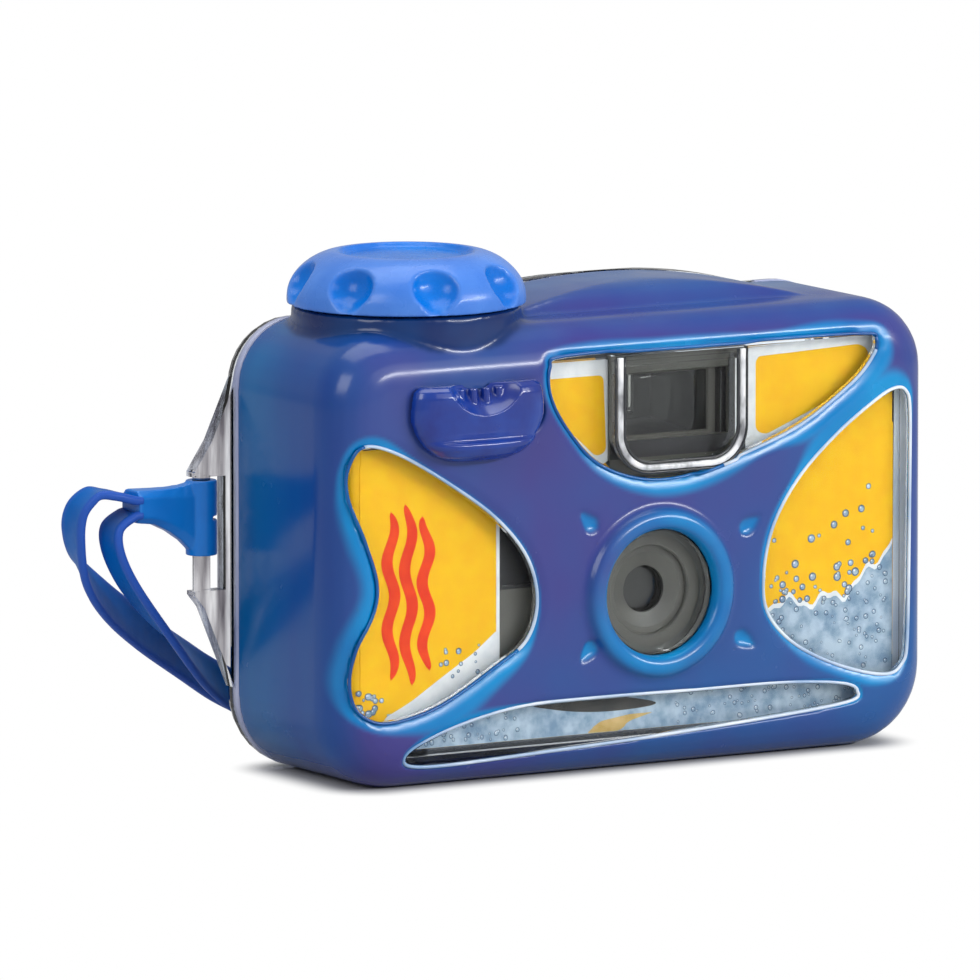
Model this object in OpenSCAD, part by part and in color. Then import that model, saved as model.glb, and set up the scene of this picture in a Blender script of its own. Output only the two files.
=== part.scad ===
// Waterproof single-use 35 mm film camera.
// X runs to the right of the front face, Y runs to the back and Z runs up.
// The origin lies on the base plane in the middle of the housing.

/* [Housing] */
// Room from the film roll to the side of the housing
side_room = 13.2; // [12:0.1:16]
// Height of the housing above the film cartridge
head_h = 25.7; // [25:0.1:30]
// Distance from the film axis to the front face
front_d = 22; // [21.5:0.5:25]
// Distance from the film axis to the seam of the rear cover
seam_y = 14; // [13.5:0.5:16]
// Depth of the rear cover behind the seam
rear_d = 8; // [7.5:0.5:11]
// Wall of the blue moulded skin
skin_t = 1.5; // [1.2:0.1:1.6]
// Wall of the clear front shell
shell_t = 1.8; // [1.5:0.1:1.9]
// Wall of the clear rear cover
rear_t = 2.2; // [1.8:0.1:2.4]
// Rounding of the front edge
front_r = 8.5; // [8:0.1:9.5]
// Rounding of the rear edge
rear_r = 7; // [5:0.5:7.5]
// Corner at the top left
corner_tl = 12; // [11.5:0.5:13]
// Corner at the top right
corner_tr = 12.5; // [11.5:0.5:14]
// Corner at the bottom right
corner_br = 14.5; // [12:0.5:15]
// Corner at the bottom left
corner_bl = 14; // [11.5:0.5:15]

/* [Knob] */
// Place of the knob and the film cartridge along the width
knob_x = -35.2; // [-35.6:0.1:-34.8]
// Radius of the winding knob at its rim
knob_r = 21.2; // [20:0.1:21.6]
// Height of the winding knob
knob_h = 9.2; // [9:0.1:11]
// Number of finger flutes round the knob
knob_flutes = 8; // [6:1:10]
// Radius of the collar under the knob
collar_r = 20.4; // [19:0.1:20.6]
// Height of the collar over the top of the housing
collar_rise = 2.8; // [2:0.1:3.2]
// Radius of the knob's drive shaft
shaft_r = 3.5; // [3:0.1:3.6]

/* [Shutter lever] */
// Place of the lever's pivot along the width
pivot_x = -24; // [-24.5:0.1:-23.5]
// Height of the lever's pivot above the top deck
pivot_rise = 5; // [4.8:0.1:6]
// Radius of the lever's finger bowl
bowl_r = 13.4; // [12.6:0.1:13.6]
// Depth of the finger bowl from rim to chin
bowl_h = 13.8; // [12.6:0.1:14.4]
// How far the bowl stands out of the front face
bowl_reach = 5; // [4.6:0.1:5.6]
// Radius of the lever's shaft
pivot_r = 1.6; // [1.4:0.1:1.8]

/* [Optics] */
// Place of the lens along the width
lens_x = 3.9; // [3.4:0.1:4.4]
// Radius of the clear port in front of the lens
port_r = 11; // [10:0.1:11.5]
// Width of the raised ring round the port
ring_w = 4.2; // [3.5:0.1:4.5]
// How far the ring stands out of the front face
ring_rise = 2; // [1:0.1:2.5]
// Radius of the taking lens
lens_r = 5; // [4.5:0.1:5.2]
// Middle of the finder along the width
finder_x = 8; // [7.6:0.1:8.4]
// Width of the finder's clear pocket
finder_w = 28.6; // [27.6:0.1:29]

/* [Strap] */
// Distance from the side of the housing to the strap bar
bar_reach = 6.2; // [6.2:0.1:8]
// Radius of the strap bar
bar_r = 1.6; // [1.4:0.1:1.7]
// Radius of the connector's tube
tube_r = 2.8; // [2.6:0.1:3]
// Width of the strap band
band_w = 7; // [5:0.5:9]
// Thickness of the strap band
band_t = 1.6; // [1.2:0.1:2]

/* [Film] */
// Radius of the film cartridge
cartridge_r = 12.5; // [12:0.1:12.5]
// Length of the film cartridge over its caps
cartridge_l = 46.6; // [45:0.1:46.8]
// Width of the film
film_w = 35; // [34:0.5:35]
// Number of teeth on the sprocket
sprocket_teeth = 8; // [6:1:10]

/* [Fits] */
// Gap between bonded or nested faces
bond = 0.1; // [0.05:0.01:0.12]
// Radial clearance of a turning shaft in its bore
run = 0.06; // [0.04:0.01:0.08]
// Clearance between pieces that pass each other
pass = 0.3; // [0.3:0.05:0.4]

/* [Hidden] */
$fn = 48;
roll_x = 40;
roll_r = 8.8;
half_w = roll_x + roll_r + side_room;
body_w = 2 * half_w;
rear_y = seam_y + rear_d;
shell_in = skin_t + bond;
cavity_in = shell_in + shell_t;
floor_z = cavity_in + 4.1;
can_z = floor_z + 1;
can_top = can_z + cartridge_l;
lens_z = can_z + cartridge_l / 2;
body_h = can_top + head_h;
steps = 8;
far = 60;
collar_top = body_h + collar_rise;
knob_z = collar_top + pass;
hump_x = 12;
hump_r = 125;
hump_rise = 4.1;
hump_w = 80;
hump_y = -8;
port_hole = port_r + run;
bearing_r = 7.5;
bearing_z = body_h - 12.5;
gland_r = 4;
gland_y = -front_d + 6;
arm_y = gland_y + 1.1;
button_y = arm_y + 1.3;
label_y = -front_d + cavity_in + 1;
label_t = 0.35;
panel_y = label_y + label_t + bond;
panel_t = 1.6;
panel_x = half_w - 7.2;
frame_y = panel_y + panel_t + bond;
frame_back = seam_y - 0.2;
frame_top = can_top + 0.6;
frame_x = half_w - 9;
plate_y = frame_y + 4.4;
deck_t = 1.4;
film_y = cartridge_r - 0.45;
film_t = 0.25;
chamber_r = roll_r + 1.6;
roll_y = film_y - bond - roll_r;
sprocket_x = knob_x + 19.7;
sprocket_r = 6.8;
sprocket_y = film_y - pass - sprocket_r;
perf_z = lens_z + film_w / 2 - 3.4;
wheel_z = can_top + 1.5;
wheel_r = 11;
wheel_t = 3;
deck_z = wheel_z + wheel_t + pass;
pivot_z = deck_z + deck_t + pivot_rise;
counter = [-19, -3];
finder_z = body_h - 16;
finder_top = body_h - 7.5;
pocket_z = [body_h - 28, body_h - 5.4];
tube_w = finder_w / 2 - 1.8;
pin_r = 0.8;
strike = [lens_x - 11.5, lens_z + 16.5];
swing = [lens_x - 11.5, lens_z + 6.5];
button_x = pivot_x - 14.5;
rocker_x = pivot_x - 4;
rocker_z = frame_top + 0.9;
rocker_reach = 10.4;
bar_x = -half_w - bar_reach;
bar_y = seam_y + 1.5;
bar_z0 = 32.9;
bar_z1 = 53.3;
drawn_w = 124;
drawn_h = 80.8;

// Outlines of the windows in the skin, clockwise, as drawn on a front face of drawn_w by drawn_h.
kidney = [[-56.2, 61.7], [-49.6, 60], [-39.3, 54.1], [-29.7, 47.3], [-23.4, 40], [-21.3, 32.3],
  [-23.4, 25.5], [-29.7, 21.2], [-41.3, 15], [-51.5, 12.8], [-56.8, 14.6], [-58.5, 19.2], [-57.6, 25.6],
  [-54.3, 32.6], [-53.8, 38], [-56.1, 45.5], [-58.6, 52.5], [-58.7, 57.9]];
brow = [[-18.2, 73.4], [-14.6, 75.1], [12.8, 75.2], [45.3, 75], [49.5, 73.8], [48, 70.3], [43.8, 66.3],
  [33.4, 59.8], [20.8, 55.3], [10.1, 52.5], [0.6, 52.5], [-8.4, 55.8], [-14.5, 62], [-18.1, 68.3]];
cheek = [[53.5, 64.7], [55.8, 64.1], [56.8, 60.7], [56.8, 48], [56.6, 33.4], [56.2, 19], [55, 15.1],
  [51.5, 13.6], [42.9, 15.6], [33.2, 20.1], [27.3, 25.9], [26.1, 32.3], [27.9, 41.3], [33.2, 49.8],
  [41.3, 57.3], [49.7, 63]];
smile = [[-47.7, 6.6], [-39.2, 10.4], [-25, 13.3], [-8.7, 13.7], [10.2, 13.5], [29.1, 13.4], [41.7, 12.4],
  [45.5, 10.8], [41.7, 8.9], [12, 6.7], [-16.8, 5.2], [-43.4, 4.3]];
function fit(p) = [for (q = p) [q[0] * body_w / drawn_w, q[1] * body_h / drawn_h]];
windows = [for (w = [kidney, brow, cheek, smile]) fit(w)];
// Opposite corners of the opening in the label, and of the dark recess beside it.
card_gap = [fit([[-26.9, 13.8]])[0], [25 * body_w / drawn_w, pocket_z[0] - 1.2]];
recess = fit([[-26.1, 34.6], [-18.6, 50]]);

// Route of the strap loop, from the connector round behind the housing and back.
route = [[-83.4, 15.5, 50.4], [-86.8, 15.8, 51.3], [-89.7, 16.6, 51.4], [-92, 18, 48.6], [-92, 19.4, 44],
  [-89, 22, 37.4], [-81.4, 26, 30.4], [-70.6, 32, 23.4], [-59.4, 38, 17], [-48, 43.4, 10.6],
  [-37, 47.6, 6.2], [-24, 51, 4], [-10, 53, 3.7], [3, 54, 3.7], [11, 52.4, 3.7], [15.5, 48, 3.7],
  [15.5, 42.6, 3.7], [11, 38, 3.7], [2, 35.6, 3.7], [-12, 34.2, 3.7], [-26, 33.4, 4], [-38.6, 32.2, 5.8],
  [-49.4, 30, 9.6], [-58.2, 27.2, 14.4], [-66.6, 23.6, 20.2], [-74.8, 20, 27], [-82, 17, 34.4],
  [-86, 15.6, 40.8], [-86.4, 15.5, 45.2], [-83.4, 15.5, 47.4]];

function spline(a, b, c, d, t) = 0.5 * (2 * b + (c - a) * t + (2 * a - 5 * b + 4 * c - d) * t * t
  + (3 * b - a - 3 * c + d) * t * t * t);
function closed_curve(p, k) = [for (i = [0:len(p) - 1]) for (j = [0:k - 1])
  spline(p[(i + len(p) - 1) % len(p)], p[i], p[(i + 1) % len(p)], p[(i + 2) % len(p)], j / k)];
function open_curve(p, k) = concat([for (i = [0:len(p) - 2]) for (j = [0:k - 1])
  spline(p[max(i - 1, 0)], p[i], p[i + 1], p[min(i + 2, len(p) - 1)], j / k)], [p[len(p) - 1]]);
function unit(v) = v / norm(v);
function shrink(p, d) = [for (i = [0:len(p) - 1])
  let (t = unit(p[(i + 1) % len(p)] - p[(i + len(p) - 1) % len(p)])) p[i] + d * [t[1], -t[0]]];
function quarter(cx, cz, r, a) = [for (i = [0:steps])
  [cx + r * cos(a + 90 * i / steps), cz + r * sin(a + 90 * i / steps)]];
function outline(e) = concat(
  quarter(half_w - corner_tr, body_h - corner_tr, corner_tr - e, 0),
  quarter(corner_tl - half_w, body_h - corner_tl, corner_tl - e, 90),
  quarter(corner_bl - half_w, corner_bl, corner_bl - e, 180),
  quarter(half_w - corner_br, corner_br, corner_br - e, 270));

// A solid through rings of equal count, the first and last one closed flat.
module skin_over(rings) {
  n = len(rings[0]);
  m = len(rings);
  side = [for (k = [0:m - 2]) for (i = [0:n - 1]) let (a = k * n + i, b = k * n + (i + 1) % n)
    each [[a, b, b + n], [a, b + n, a + n]]];
  front = [for (i = [n - 1:-1:0]) i];
  back = [for (i = [0:n - 1]) (m - 1) * n + i];
  polyhedron(points = [for (r = rings) each r], faces = concat([front], side, [back]));
}

module loft(insets, ys) {
  skin_over([for (k = [0:len(ys) - 1]) [for (p = outline(insets[k])) [p[0], ys[k], p[1]]]]);
}

module front_form(t, y_end) {
  loft(concat([for (k = [0:6]) front_r - (front_r - t) * sin(15 * k)], [t]),
    concat([for (k = [0:6]) front_r - front_d - (front_r - t) * cos(15 * k)], [y_end]));
}

module rear_form(t, y_start) {
  loft(concat([t], [for (k = [6:-1:0]) rear_r - (rear_r - t) * sin(15 * k)]),
    concat([y_start], [for (k = [6:-1:0]) rear_y - rear_r + (rear_r - t) * cos(15 * k)]));
}

module band_form(e0, e1, y0, y1) {
  difference() {
    loft([e0, e0], [y0, y1]);
    loft([e1, e1], [y0 - 1, y1 + 1]);
  }
}

module collar_form(t, y_end) {
  intersection() {
    translate([knob_x, 0, body_h - 24])
      cylinder(r = collar_r - t, h = collar_top - t - body_h + 24, $fn = 96);
    translate([knob_x - 30, -30, 0])
      cube([60, 30 + y_end, 100]);
  }
}

// The part of the collar behind the seam.
module collar_back(t) {
  intersection() {
    translate([knob_x, 0, body_h - rear_r])
      cylinder(r = collar_r - t, h = collar_top - t - body_h + rear_r, $fn = 96);
    block(knob_x - 30, knob_x + 30, seam_y - t, rear_y + 9, 0, 100);
  }
}

module front_body(t, y_end) {
  front_form(t, y_end);
  collar_form(t, y_end);
}

// The rise over the finder: an arch across the width, eased down at one end.
module hump(y0, y1, ease, low) {
  top = body_h + hump_rise;
  front = [for (a = [0:15:90]) [y0 + ease * (1 - cos(a)), low + (top - low) * sin(a)]];
  intersection() {
    translate([hump_x, far, top - hump_r])
      rotate([90, 0, 0])
        cylinder(r = hump_r, h = 2 * far, $fn = 128);
    translate([hump_x - hump_w / 2, 0, 0])
      rotate([90, 0, 90])
        linear_extrude(hump_w)
          polygon(concat([[y0, low - 1]], front, [[y1, top], [y1, low - 1]]));
  }
}

// A prism along the depth with the given outline on the front face.
module through(p, y0, y1) {
  translate([0, y1, 0])
    rotate([90, 0, 0])
      linear_extrude(y1 - y0)
        polygon(p);
}

// What fills a window of the skin, clear of its edge.
module window_plug(w) {
  through(shrink(closed_curve(w, 4), bond + 0.1), -far, -9.4);
}

// Keeps what lies inside the housing's outline, so that corners clear its walls.
module inside_walls(y0, y1) {
  intersection() {
    children();
    loft([floor_z, floor_z], [y0 - 1, y1 + 1]);
  }
}

module post(x, z, y0, y1, r) {
  translate([x, y1, z])
    rotate([90, 0, 0])
      cylinder(r = r, h = y1 - y0);
}

module block(x0, x1, y0, y1, z0, z1) {
  translate([x0, y0, z0])
    cube([x1 - x0, y1 - y0, z1 - z0]);
}

// The finder's pocket: flat on top, round at the two lower corners.
module finder_shape(d, y0, y1) {
  w = finder_w / 2 - d;
  r = 8 - d;
  z0 = pocket_z[0] + d;
  z1 = pocket_z[1] - d;
  translate([finder_x, y1, 0])
    rotate([90, 0, 0])
      linear_extrude(y1 - y0)
        union() {
          translate([-w, z0 + r])
            square([2 * w, z1 - z0 - r]);
          translate([r - w, z0])
            square([2 * w - 2 * r, r + 0.5]);
          for (s = [-1, 1])
            translate([s * (w - r), z0 + r])
              circle(r = r);
        }
}

module torus_ring(major, minor) {
  rotate_extrude($fn = 72)
    translate([major, 0])
      circle(r = minor, $fn = 24);
}

// A helical coil along +Z, one unbroken wire.
module coil(r, wire, turns, pitch) {
  n = turns * 14;
  skin_over([for (i = [0:n]) let (a = 360 * i / 14) [for (j = [0:7]) let (b = -45 * j)
    [(r + wire * cos(b)) * cos(a), (r + wire * cos(b)) * sin(a), pitch * a / 360 + wire * sin(b)]]]);
}

module ring_crest() {
  r0 = port_hole + 0.2;
  r1 = port_r + ring_w;
  mid = (r0 + r1) / 2;
  half = (r1 - r0) / 2;
  crest = [for (a = [0:15:180]) [mid + half * cos(a), (ring_rise + 0.3) * pow(sin(a), 0.7) - 0.3]];
  translate([lens_x, -front_d, lens_z])
    rotate([90, 0, 0])
      rotate_extrude($fn = 96)
        polygon(concat(crest, [[r0, -skin_t], [r1, -skin_t]]));
}

module dimple(x, z, a) {
  drop = concat([for (b = [-120:20:120]) 1.7 * [cos(b), sin(b)]], [[-4.4, 0]]);
  translate([x, -front_d + 0.8, z])
    rotate([90, 0, 0])
      rotate([0, 0, a])
        linear_extrude(2)
          polygon(drop);
}

module front_skin() {
  color([0.1, 0.28, 0.68])
    difference() {
      union() {
        front_body(0, seam_y - bond);
        hump(hump_y, seam_y - bond, 9, body_h - 2);
        ring_crest();
      }
      front_body(skin_t, seam_y + 2);
      for (w = windows)
        through(closed_curve(w, 4), -far, -9);
      post(lens_x, lens_z, -far, -12, port_hole + 0.2);
      post(pivot_x, pivot_z, -far, -12, gland_r + pass);
      translate([knob_x, 0, body_h - 10])
        cylinder(r = bearing_r + pass, h = 20);
      dimple(lens_x - 14, lens_z + 13.1, -45);
      dimple(lens_x + 18.2, lens_z + 10.4, -150);
      dimple(lens_x + 17.2, lens_z - 9.4, 150);
      dimple(lens_x - 14, lens_z - 9, 45);
    }
}

module front_shell() {
  end = seam_y - 0.9;
  color([0.85, 0.9, 0.95, 0.5])
    difference() {
      union() {
        difference() {
          union() {
            front_body(shell_in, end);
            intersection() {
              front_form(0.5, 0);
              for (w = windows)
                window_plug(w);
            }
            intersection() {
              finder_shape(0.6, -front_d - 0.9, -front_d + 2);
              window_plug(windows[1]);
            }
          }
          front_body(cavity_in, seam_y + 2);
        }
        translate([knob_x, 0, bearing_z])
          cylinder(r = bearing_r, h = collar_top - skin_t - bond - bearing_z);
        post(lens_x, lens_z, -front_d + 0.4, -front_d + cavity_in, port_hole + 0.1);
        post(pivot_x, pivot_z, -front_d + 0.2, gland_y, gland_r);
      }
      finder_shape(2.6, -far, -front_d + 0.8);
      finder_shape(2, -front_d + 2.1, -10);
      translate([knob_x, 0, 0])
        cylinder(r = shaft_r + run, h = 100);
      translate([knob_x, 0, collar_top - skin_t - 2.6])
        cylinder(r = 5.6, h = 10);
      post(pivot_x, pivot_z, -far, 0, pivot_r + run);
      post(pivot_x, pivot_z, -far, -front_d + 2, 3.2);
      post(lens_x, lens_z, -far, -front_d + cavity_in - 0.6, port_r + bond / 2);
      post(lens_x, lens_z, -far, 0, port_r - 1);
    }
}

module rear_cover() {
  lug = [[2, 70.5], [0.2, 70.5], [-4.8, 59.6], [-8.4, 54.2], [-8.3, 32.2], [-6.4, 29.8], [-0.3, 15.2],
    [2, 15.2]];
  stretch = bar_reach / 6.2;
  color([0.85, 0.9, 0.95, 0.5])
    difference() {
      union() {
        difference() {
          union() {
            rear_form(0, seam_y);
            translate([0, rear_y + seam_y, 0])
              mirror([0, 1, 0])
                hump(seam_y, rear_y, rear_d - 0.5, body_h - rear_r);
            collar_back(0);
          }
          rear_form(rear_t, seam_y - 2);
          collar_back(rear_t);
        }
        band_form(rear_t - 0.4, 4.8, seam_y, seam_y + 1.4);
        band_form(cavity_in + bond, 4.8, seam_y - 5, seam_y + 0.4);
        through([for (p = lug) [p[0] * stretch - half_w, p[1] * body_h / drawn_h]], seam_y, seam_y + 3);
        translate([finder_x - 11, rear_y - 1, finder_z - 9.5])
          cube([22, 1.8, 19]);
        for (x = [-46, 46])
          for (z = [14, 46])
            post(x, z, frame_back + 3, rear_y - 1.2, 2);
      }
      block(bar_x - 10, bar_x + 4.1, seam_y - 1, seam_y + 5, bar_z0, bar_z1);
      block(finder_x - 9, finder_x + 9, rear_y - 0.2, rear_y + 2, finder_z - 7.5, finder_z + 7.5);
    }
  color([0.85, 0.9, 0.95, 0.5])
    translate([bar_x, bar_y, bar_z0 - 0.4])
      cylinder(r = bar_r, h = bar_z1 - bar_z0 + 0.8);
}

module seam_gasket() {
  color([0.75, 0.78, 0.8])
    band_form(shell_in + 0.3, cavity_in - 0.3, seam_y - 0.85, seam_y - 0.05);
}

module lens_window() {
  color([0.8, 0.85, 0.9, 0.5])
    post(lens_x, lens_z, -front_d + 0.8, -front_d + cavity_in - 0.65, port_r);
}

module wind_knob() {
  crown = knob_r * 0.6;
  edge = [for (a = [0:9:90]) [crown + (knob_r - crown) * pow(cos(a), 1.25), 1.2 + (knob_h - 1.2) * sin(a)]];
  dish = crown - 1.4;
  print_r = 5;
  print_l = knob_h * 0.72;
  color([0.12, 0.42, 0.9])
    translate([knob_x, 0, knob_z])
      difference() {
        rotate_extrude($fn = 96)
          polygon(concat([[0, 0], [knob_r, 0]], edge,
            [[dish + 0.5, knob_h], [dish, knob_h - 0.9], [0, knob_h - 1.1]]));
        for (i = [0:knob_flutes - 1])
          rotate([0, 0, 360 * (i + 0.66) / knob_flutes])
            translate([knob_r + 3.3, 0, 0])
              rotate([0, -25, 0]) {
                translate([0, 0, print_l])
                  sphere(r = print_r, $fn = 72);
                translate([0, 0, -2])
                  cylinder(r1 = 2, r2 = print_r, h = print_l + 2, $fn = 72);
              }
        difference() {
          translate([0, 0, -1])
            cylinder(r = knob_r - 6.4, h = 5);
          translate([0, 0, -2])
            cylinder(r = 7, h = 12);
        }
        translate([0, 0, -1])
          cylinder(r = shaft_r + 0.02, h = knob_h - 1.6);
      }
}

module drive_shaft() {
  z0 = wheel_z + 6.4;
  top = knob_z + knob_h - 2.8;
  color([0.2, 0.2, 0.22])
    translate([knob_x, 0, 0])
      difference() {
        union() {
          translate([0, 0, z0])
            cylinder(r = shaft_r, h = top - z0);
          translate([-2.8, -0.8, wheel_z + 2.6])
            cube([5.6, 1.6, z0 - wheel_z]);
        }
        difference() {
          translate([0, 0, bearing_z - 1.2])
            cylinder(r = shaft_r + 2, h = 1);
          translate([0, 0, bearing_z - 2])
            cylinder(r = shaft_r - 0.6, h = 3);
        }
      }
}

module knob_seal() {
  color([0.08, 0.08, 0.08])
    translate([knob_x, 0, collar_top - skin_t - 1.5])
      torus_ring(shaft_r + run + 0.86, 0.85);
}

module knob_clip() {
  color([0.6, 0.6, 0.62])
    translate([knob_x, 0, bearing_z - 1.1])
      difference() {
        cylinder(r = shaft_r + 2.4, h = 0.8);
        translate([0, 0, -1])
          cylinder(r = shaft_r - 0.6 + 0.05, h = 3);
        translate([0, -shaft_r + 0.9, -1])
          cube([10, 2 * shaft_r - 1.8, 3]);
      }
}

// Rings of the lever from its chin up: shares of the half width and the reach, and of the drop from the rim.
lever_form = [[0.28, 0.16, 1], [0.47, 0.5, 0.97], [0.65, 0.8, 0.9], [0.79, 0.98, 0.8], [0.83, 1, 0.755],
  [0.85, 0.96, 0.725], [0.87, 0.8, 0.7], [0.94, 0.78, 0.6], [1, 0.8, 0.45], [1, 0.84, 0.28],
  [0.98, 0.86, 0.13], [0.95, 0.78, 0.05], [0.88, 0.56, 0]];
lever_cut = -front_d - 0.4;
lever_grip = 2;

module shutter_lever() {
  rim_z = pivot_z + 5.6;
  bowl_x = pivot_x - 10.2;
  function bend(v) = sign(v) * pow(abs(v), 0.75);
  color([0.06, 0.2, 0.55])
    difference() {
      union() {
        difference() {
          skin_over([for (f = lever_form) [for (a = [0:7.5:180])
            [bowl_x + bowl_r * f[0] * bend(cos(a)), lever_cut - bowl_reach * f[1] * bend(sin(a)),
              rim_z - bowl_h * f[2]]]]);
          translate([bowl_x, lever_cut - 8.6, rim_z + 3.2])
            sphere(r = 9.6, $fn = 72);
        }
        for (i = [-1.5:1:1.5])
          translate([bowl_x + 2.6 * i, lever_cut - 1.1, rim_z - 4])
            cylinder(r = 0.8, h = 3.3, $fn = 24);
      }
      post(pivot_x, pivot_z, lever_cut - lever_grip, lever_cut + 2, pivot_r + 0.02);
    }
}

module lever_shaft() {
  color([0.2, 0.2, 0.22])
    difference() {
      post(pivot_x, pivot_z, lever_cut - lever_grip + bond, arm_y + 6.9, pivot_r);
      difference() {
        post(pivot_x, pivot_z, gland_y + 0.2, gland_y + 0.9, pivot_r + 1);
        post(pivot_x, pivot_z, gland_y, gland_y + 2, pivot_r - 0.4);
      }
    }
}

module lever_seal() {
  color([0.08, 0.08, 0.08])
    translate([pivot_x, -front_d + 1.2, pivot_z])
      rotate([90, 0, 0])
        torus_ring(pivot_r + run + 0.71, 0.7);
}

module lever_clip() {
  color([0.6, 0.6, 0.62])
    difference() {
      post(pivot_x, pivot_z, gland_y + 0.25, gland_y + 0.85, pivot_r + 1.6);
      post(pivot_x, pivot_z, gland_y - 1, gland_y + 2, pivot_r - 0.35);
      block(pivot_x - pivot_r + 0.6, pivot_x + pivot_r - 0.6, gland_y - 1, gland_y + 2,
        pivot_z, pivot_z + 9);
    }
}

module release_arm() {
  color([0.15, 0.15, 0.17])
    difference() {
      union() {
        post(pivot_x, pivot_z, arm_y, arm_y + 2.7, 3);
        block(button_x - 1.5, pivot_x, arm_y + 0.1, arm_y + 2.6, pivot_z - 1.6, pivot_z + 1.6);
      }
      post(pivot_x, pivot_z, arm_y - 5, arm_y + 5, pivot_r + 0.02);
    }
}

module lever_spring() {
  color([0.7, 0.7, 0.72])
    translate([pivot_x, arm_y + 6.5, pivot_z])
      rotate([90, 0, 0])
        coil(pivot_r + 0.8, 0.3, 4, 0.8);
}

module strap_connector() {
  z0 = 39.3;
  z1 = 52.7;
  function bar_ring(x, z, h, t) = [for (c = [[1, 0.6], [0.6, 1], [-0.6, 1], [-1, 0.6], [-1, -0.6],
    [-0.6, -1], [0.6, -1], [1, -0.6]]) [x, bar_y - c[0] * t / 2, z + c[1] * h / 2]];
  color([0.03, 0.42, 0.8])
    difference() {
      union() {
        translate([bar_x, bar_y, z0])
          cylinder(r = tube_r, h = z1 - z0);
        skin_over([bar_ring(bar_x - 14.3, 49, 5.8, 6.6), bar_ring(bar_x - 10.4, 48.7, 6.2, 5.6),
          bar_ring(bar_x - 7.1, 47.9, 7.8, 4.6), bar_ring(bar_x - 4.5, 47.1, 9.8, 3.9),
          bar_ring(bar_x - 2.5, 46.3, 12.2, 3.6), bar_ring(bar_x, 46, 13.2, 3.6)]);
      }
      translate([bar_x, bar_y, z0 - 1])
        cylinder(r = bar_r + run, h = z1 - z0 + 2);
      translate([bar_x + 0.9, bar_y - 4, 45.7])
        cube([4, 8, 0.6]);
    }
}

// The band's cross direction turns from flat at the connector to upright on the floor.
module strap_band() {
  p = open_curve([for (q = route) q + [bar_x + 68.2, bar_y - 15.5, 0]], 2);
  n = len(p);
  w = band_w / 2;
  t = band_t / 2;
  shape = [[w, t * 0.4], [w - 0.5, t], [0.5 - w, t], [-w, t * 0.4], [-w, -t * 0.4], [0.5 - w, -t],
    [w - 0.5, -t], [w, -t * 0.4]];
  function ease(v) = let (c = min(max(v, 0), 1)) c * c * (3 - 2 * c);
  function turn(i) = ease((i - 2) / 9) * ease((n - 1 - i - 2) / 9);
  color([0.05, 0.3, 0.63])
    skin_over([for (i = [0:n - 1])
      let (g = unit(p[min(i + 1, n - 1)] - p[max(i - 1, 0)]), u = turn(i), b = [0, 1 - u, u],
        c = unit(b - g * (b * g)), d = cross(g, c))
      [for (q = shape) p[i] + c * q[0] + d * q[1]]]);
}

module gate_cone() {
  gx = 18;
  gz = 12;
  skin_over([for (s = [[3.2, 3.2, plate_y + 1.1], [gx, gz, film_y - 0.4], [gx, gz, film_y + far]])
    [for (c = [[1, -1], [1, 1], [-1, 1], [-1, -1]])
      [lens_x + c[0] * s[0], s[2], lens_z + c[1] * s[1]]]]);
}

module camera_frame() {
  color([0.09, 0.09, 0.1]) {
    difference() {
      union() {
        inside_walls(frame_y, frame_back)
          block(-frame_x, frame_x, frame_y, frame_back, floor_z, frame_top);
        block(rocker_x - 1.5, rocker_x + 1.5, button_y + 1, button_y + 2.2, frame_top - 1, frame_top + 3.4);
      }
      translate([knob_x, 0, can_z - 0.2])
        cylinder(r = cartridge_r + 0.5, h = far);
      block(knob_x - cartridge_r - 0.5, knob_x + cartridge_r + 0.5, 0, far, can_z - 0.2, far);
      translate([roll_x, roll_y, can_z - 0.2])
        cylinder(r = chamber_r, h = far);
      block(roll_x - chamber_r, roll_x + chamber_r, roll_y, far, can_z - 0.2, far);
      gate_cone();
      block(-far, far, film_y - 0.4, far, lens_z - film_w / 2 - 0.5, lens_z + film_w / 2 + 0.5);
      block(-19, 22, -far, plate_y, 8, far);
      post(lens_x, lens_z, plate_y - 1, plate_y + 2, 2.2);
      translate([sprocket_x, sprocket_y, perf_z - 1.3])
        cylinder(r = sprocket_r + 0.5, h = 2.6);
      block(sprocket_x - sprocket_r - 0.5, sprocket_x + sprocket_r + 0.5, sprocket_y, far,
        perf_z - 1.3, perf_z + 1.3);
      translate([sprocket_x, sprocket_y, perf_z])
        cylinder(r = 1.5 + run, h = far);
      block(button_x - 3, rocker_x + rocker_reach + 1, button_y - 1.4, button_y + 0.8, frame_top - 3.4, far);
    }
    post(rocker_x, rocker_z, button_y - 1.3, button_y + 1.6, pin_r);
    post(strike[0], strike[1], frame_y + 0.3, plate_y + 0.4, pin_r);
    post(swing[0], swing[1], frame_y + 0.8, plate_y + 0.4, pin_r);
    translate([roll_x, roll_y, can_z - 0.6])
      cylinder(r = 1.4, h = 6);
  }
}

// The front view shape shared by the label and the panel behind it.
module face_shape(e, y0, y1) {
  difference() {
    loft([e, e], [y0, y1]);
    block(-far - 20, pivot_x + gland_r + 0.2, -far, far, deck_z + 0.9, far + 40);
  }
}

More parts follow.
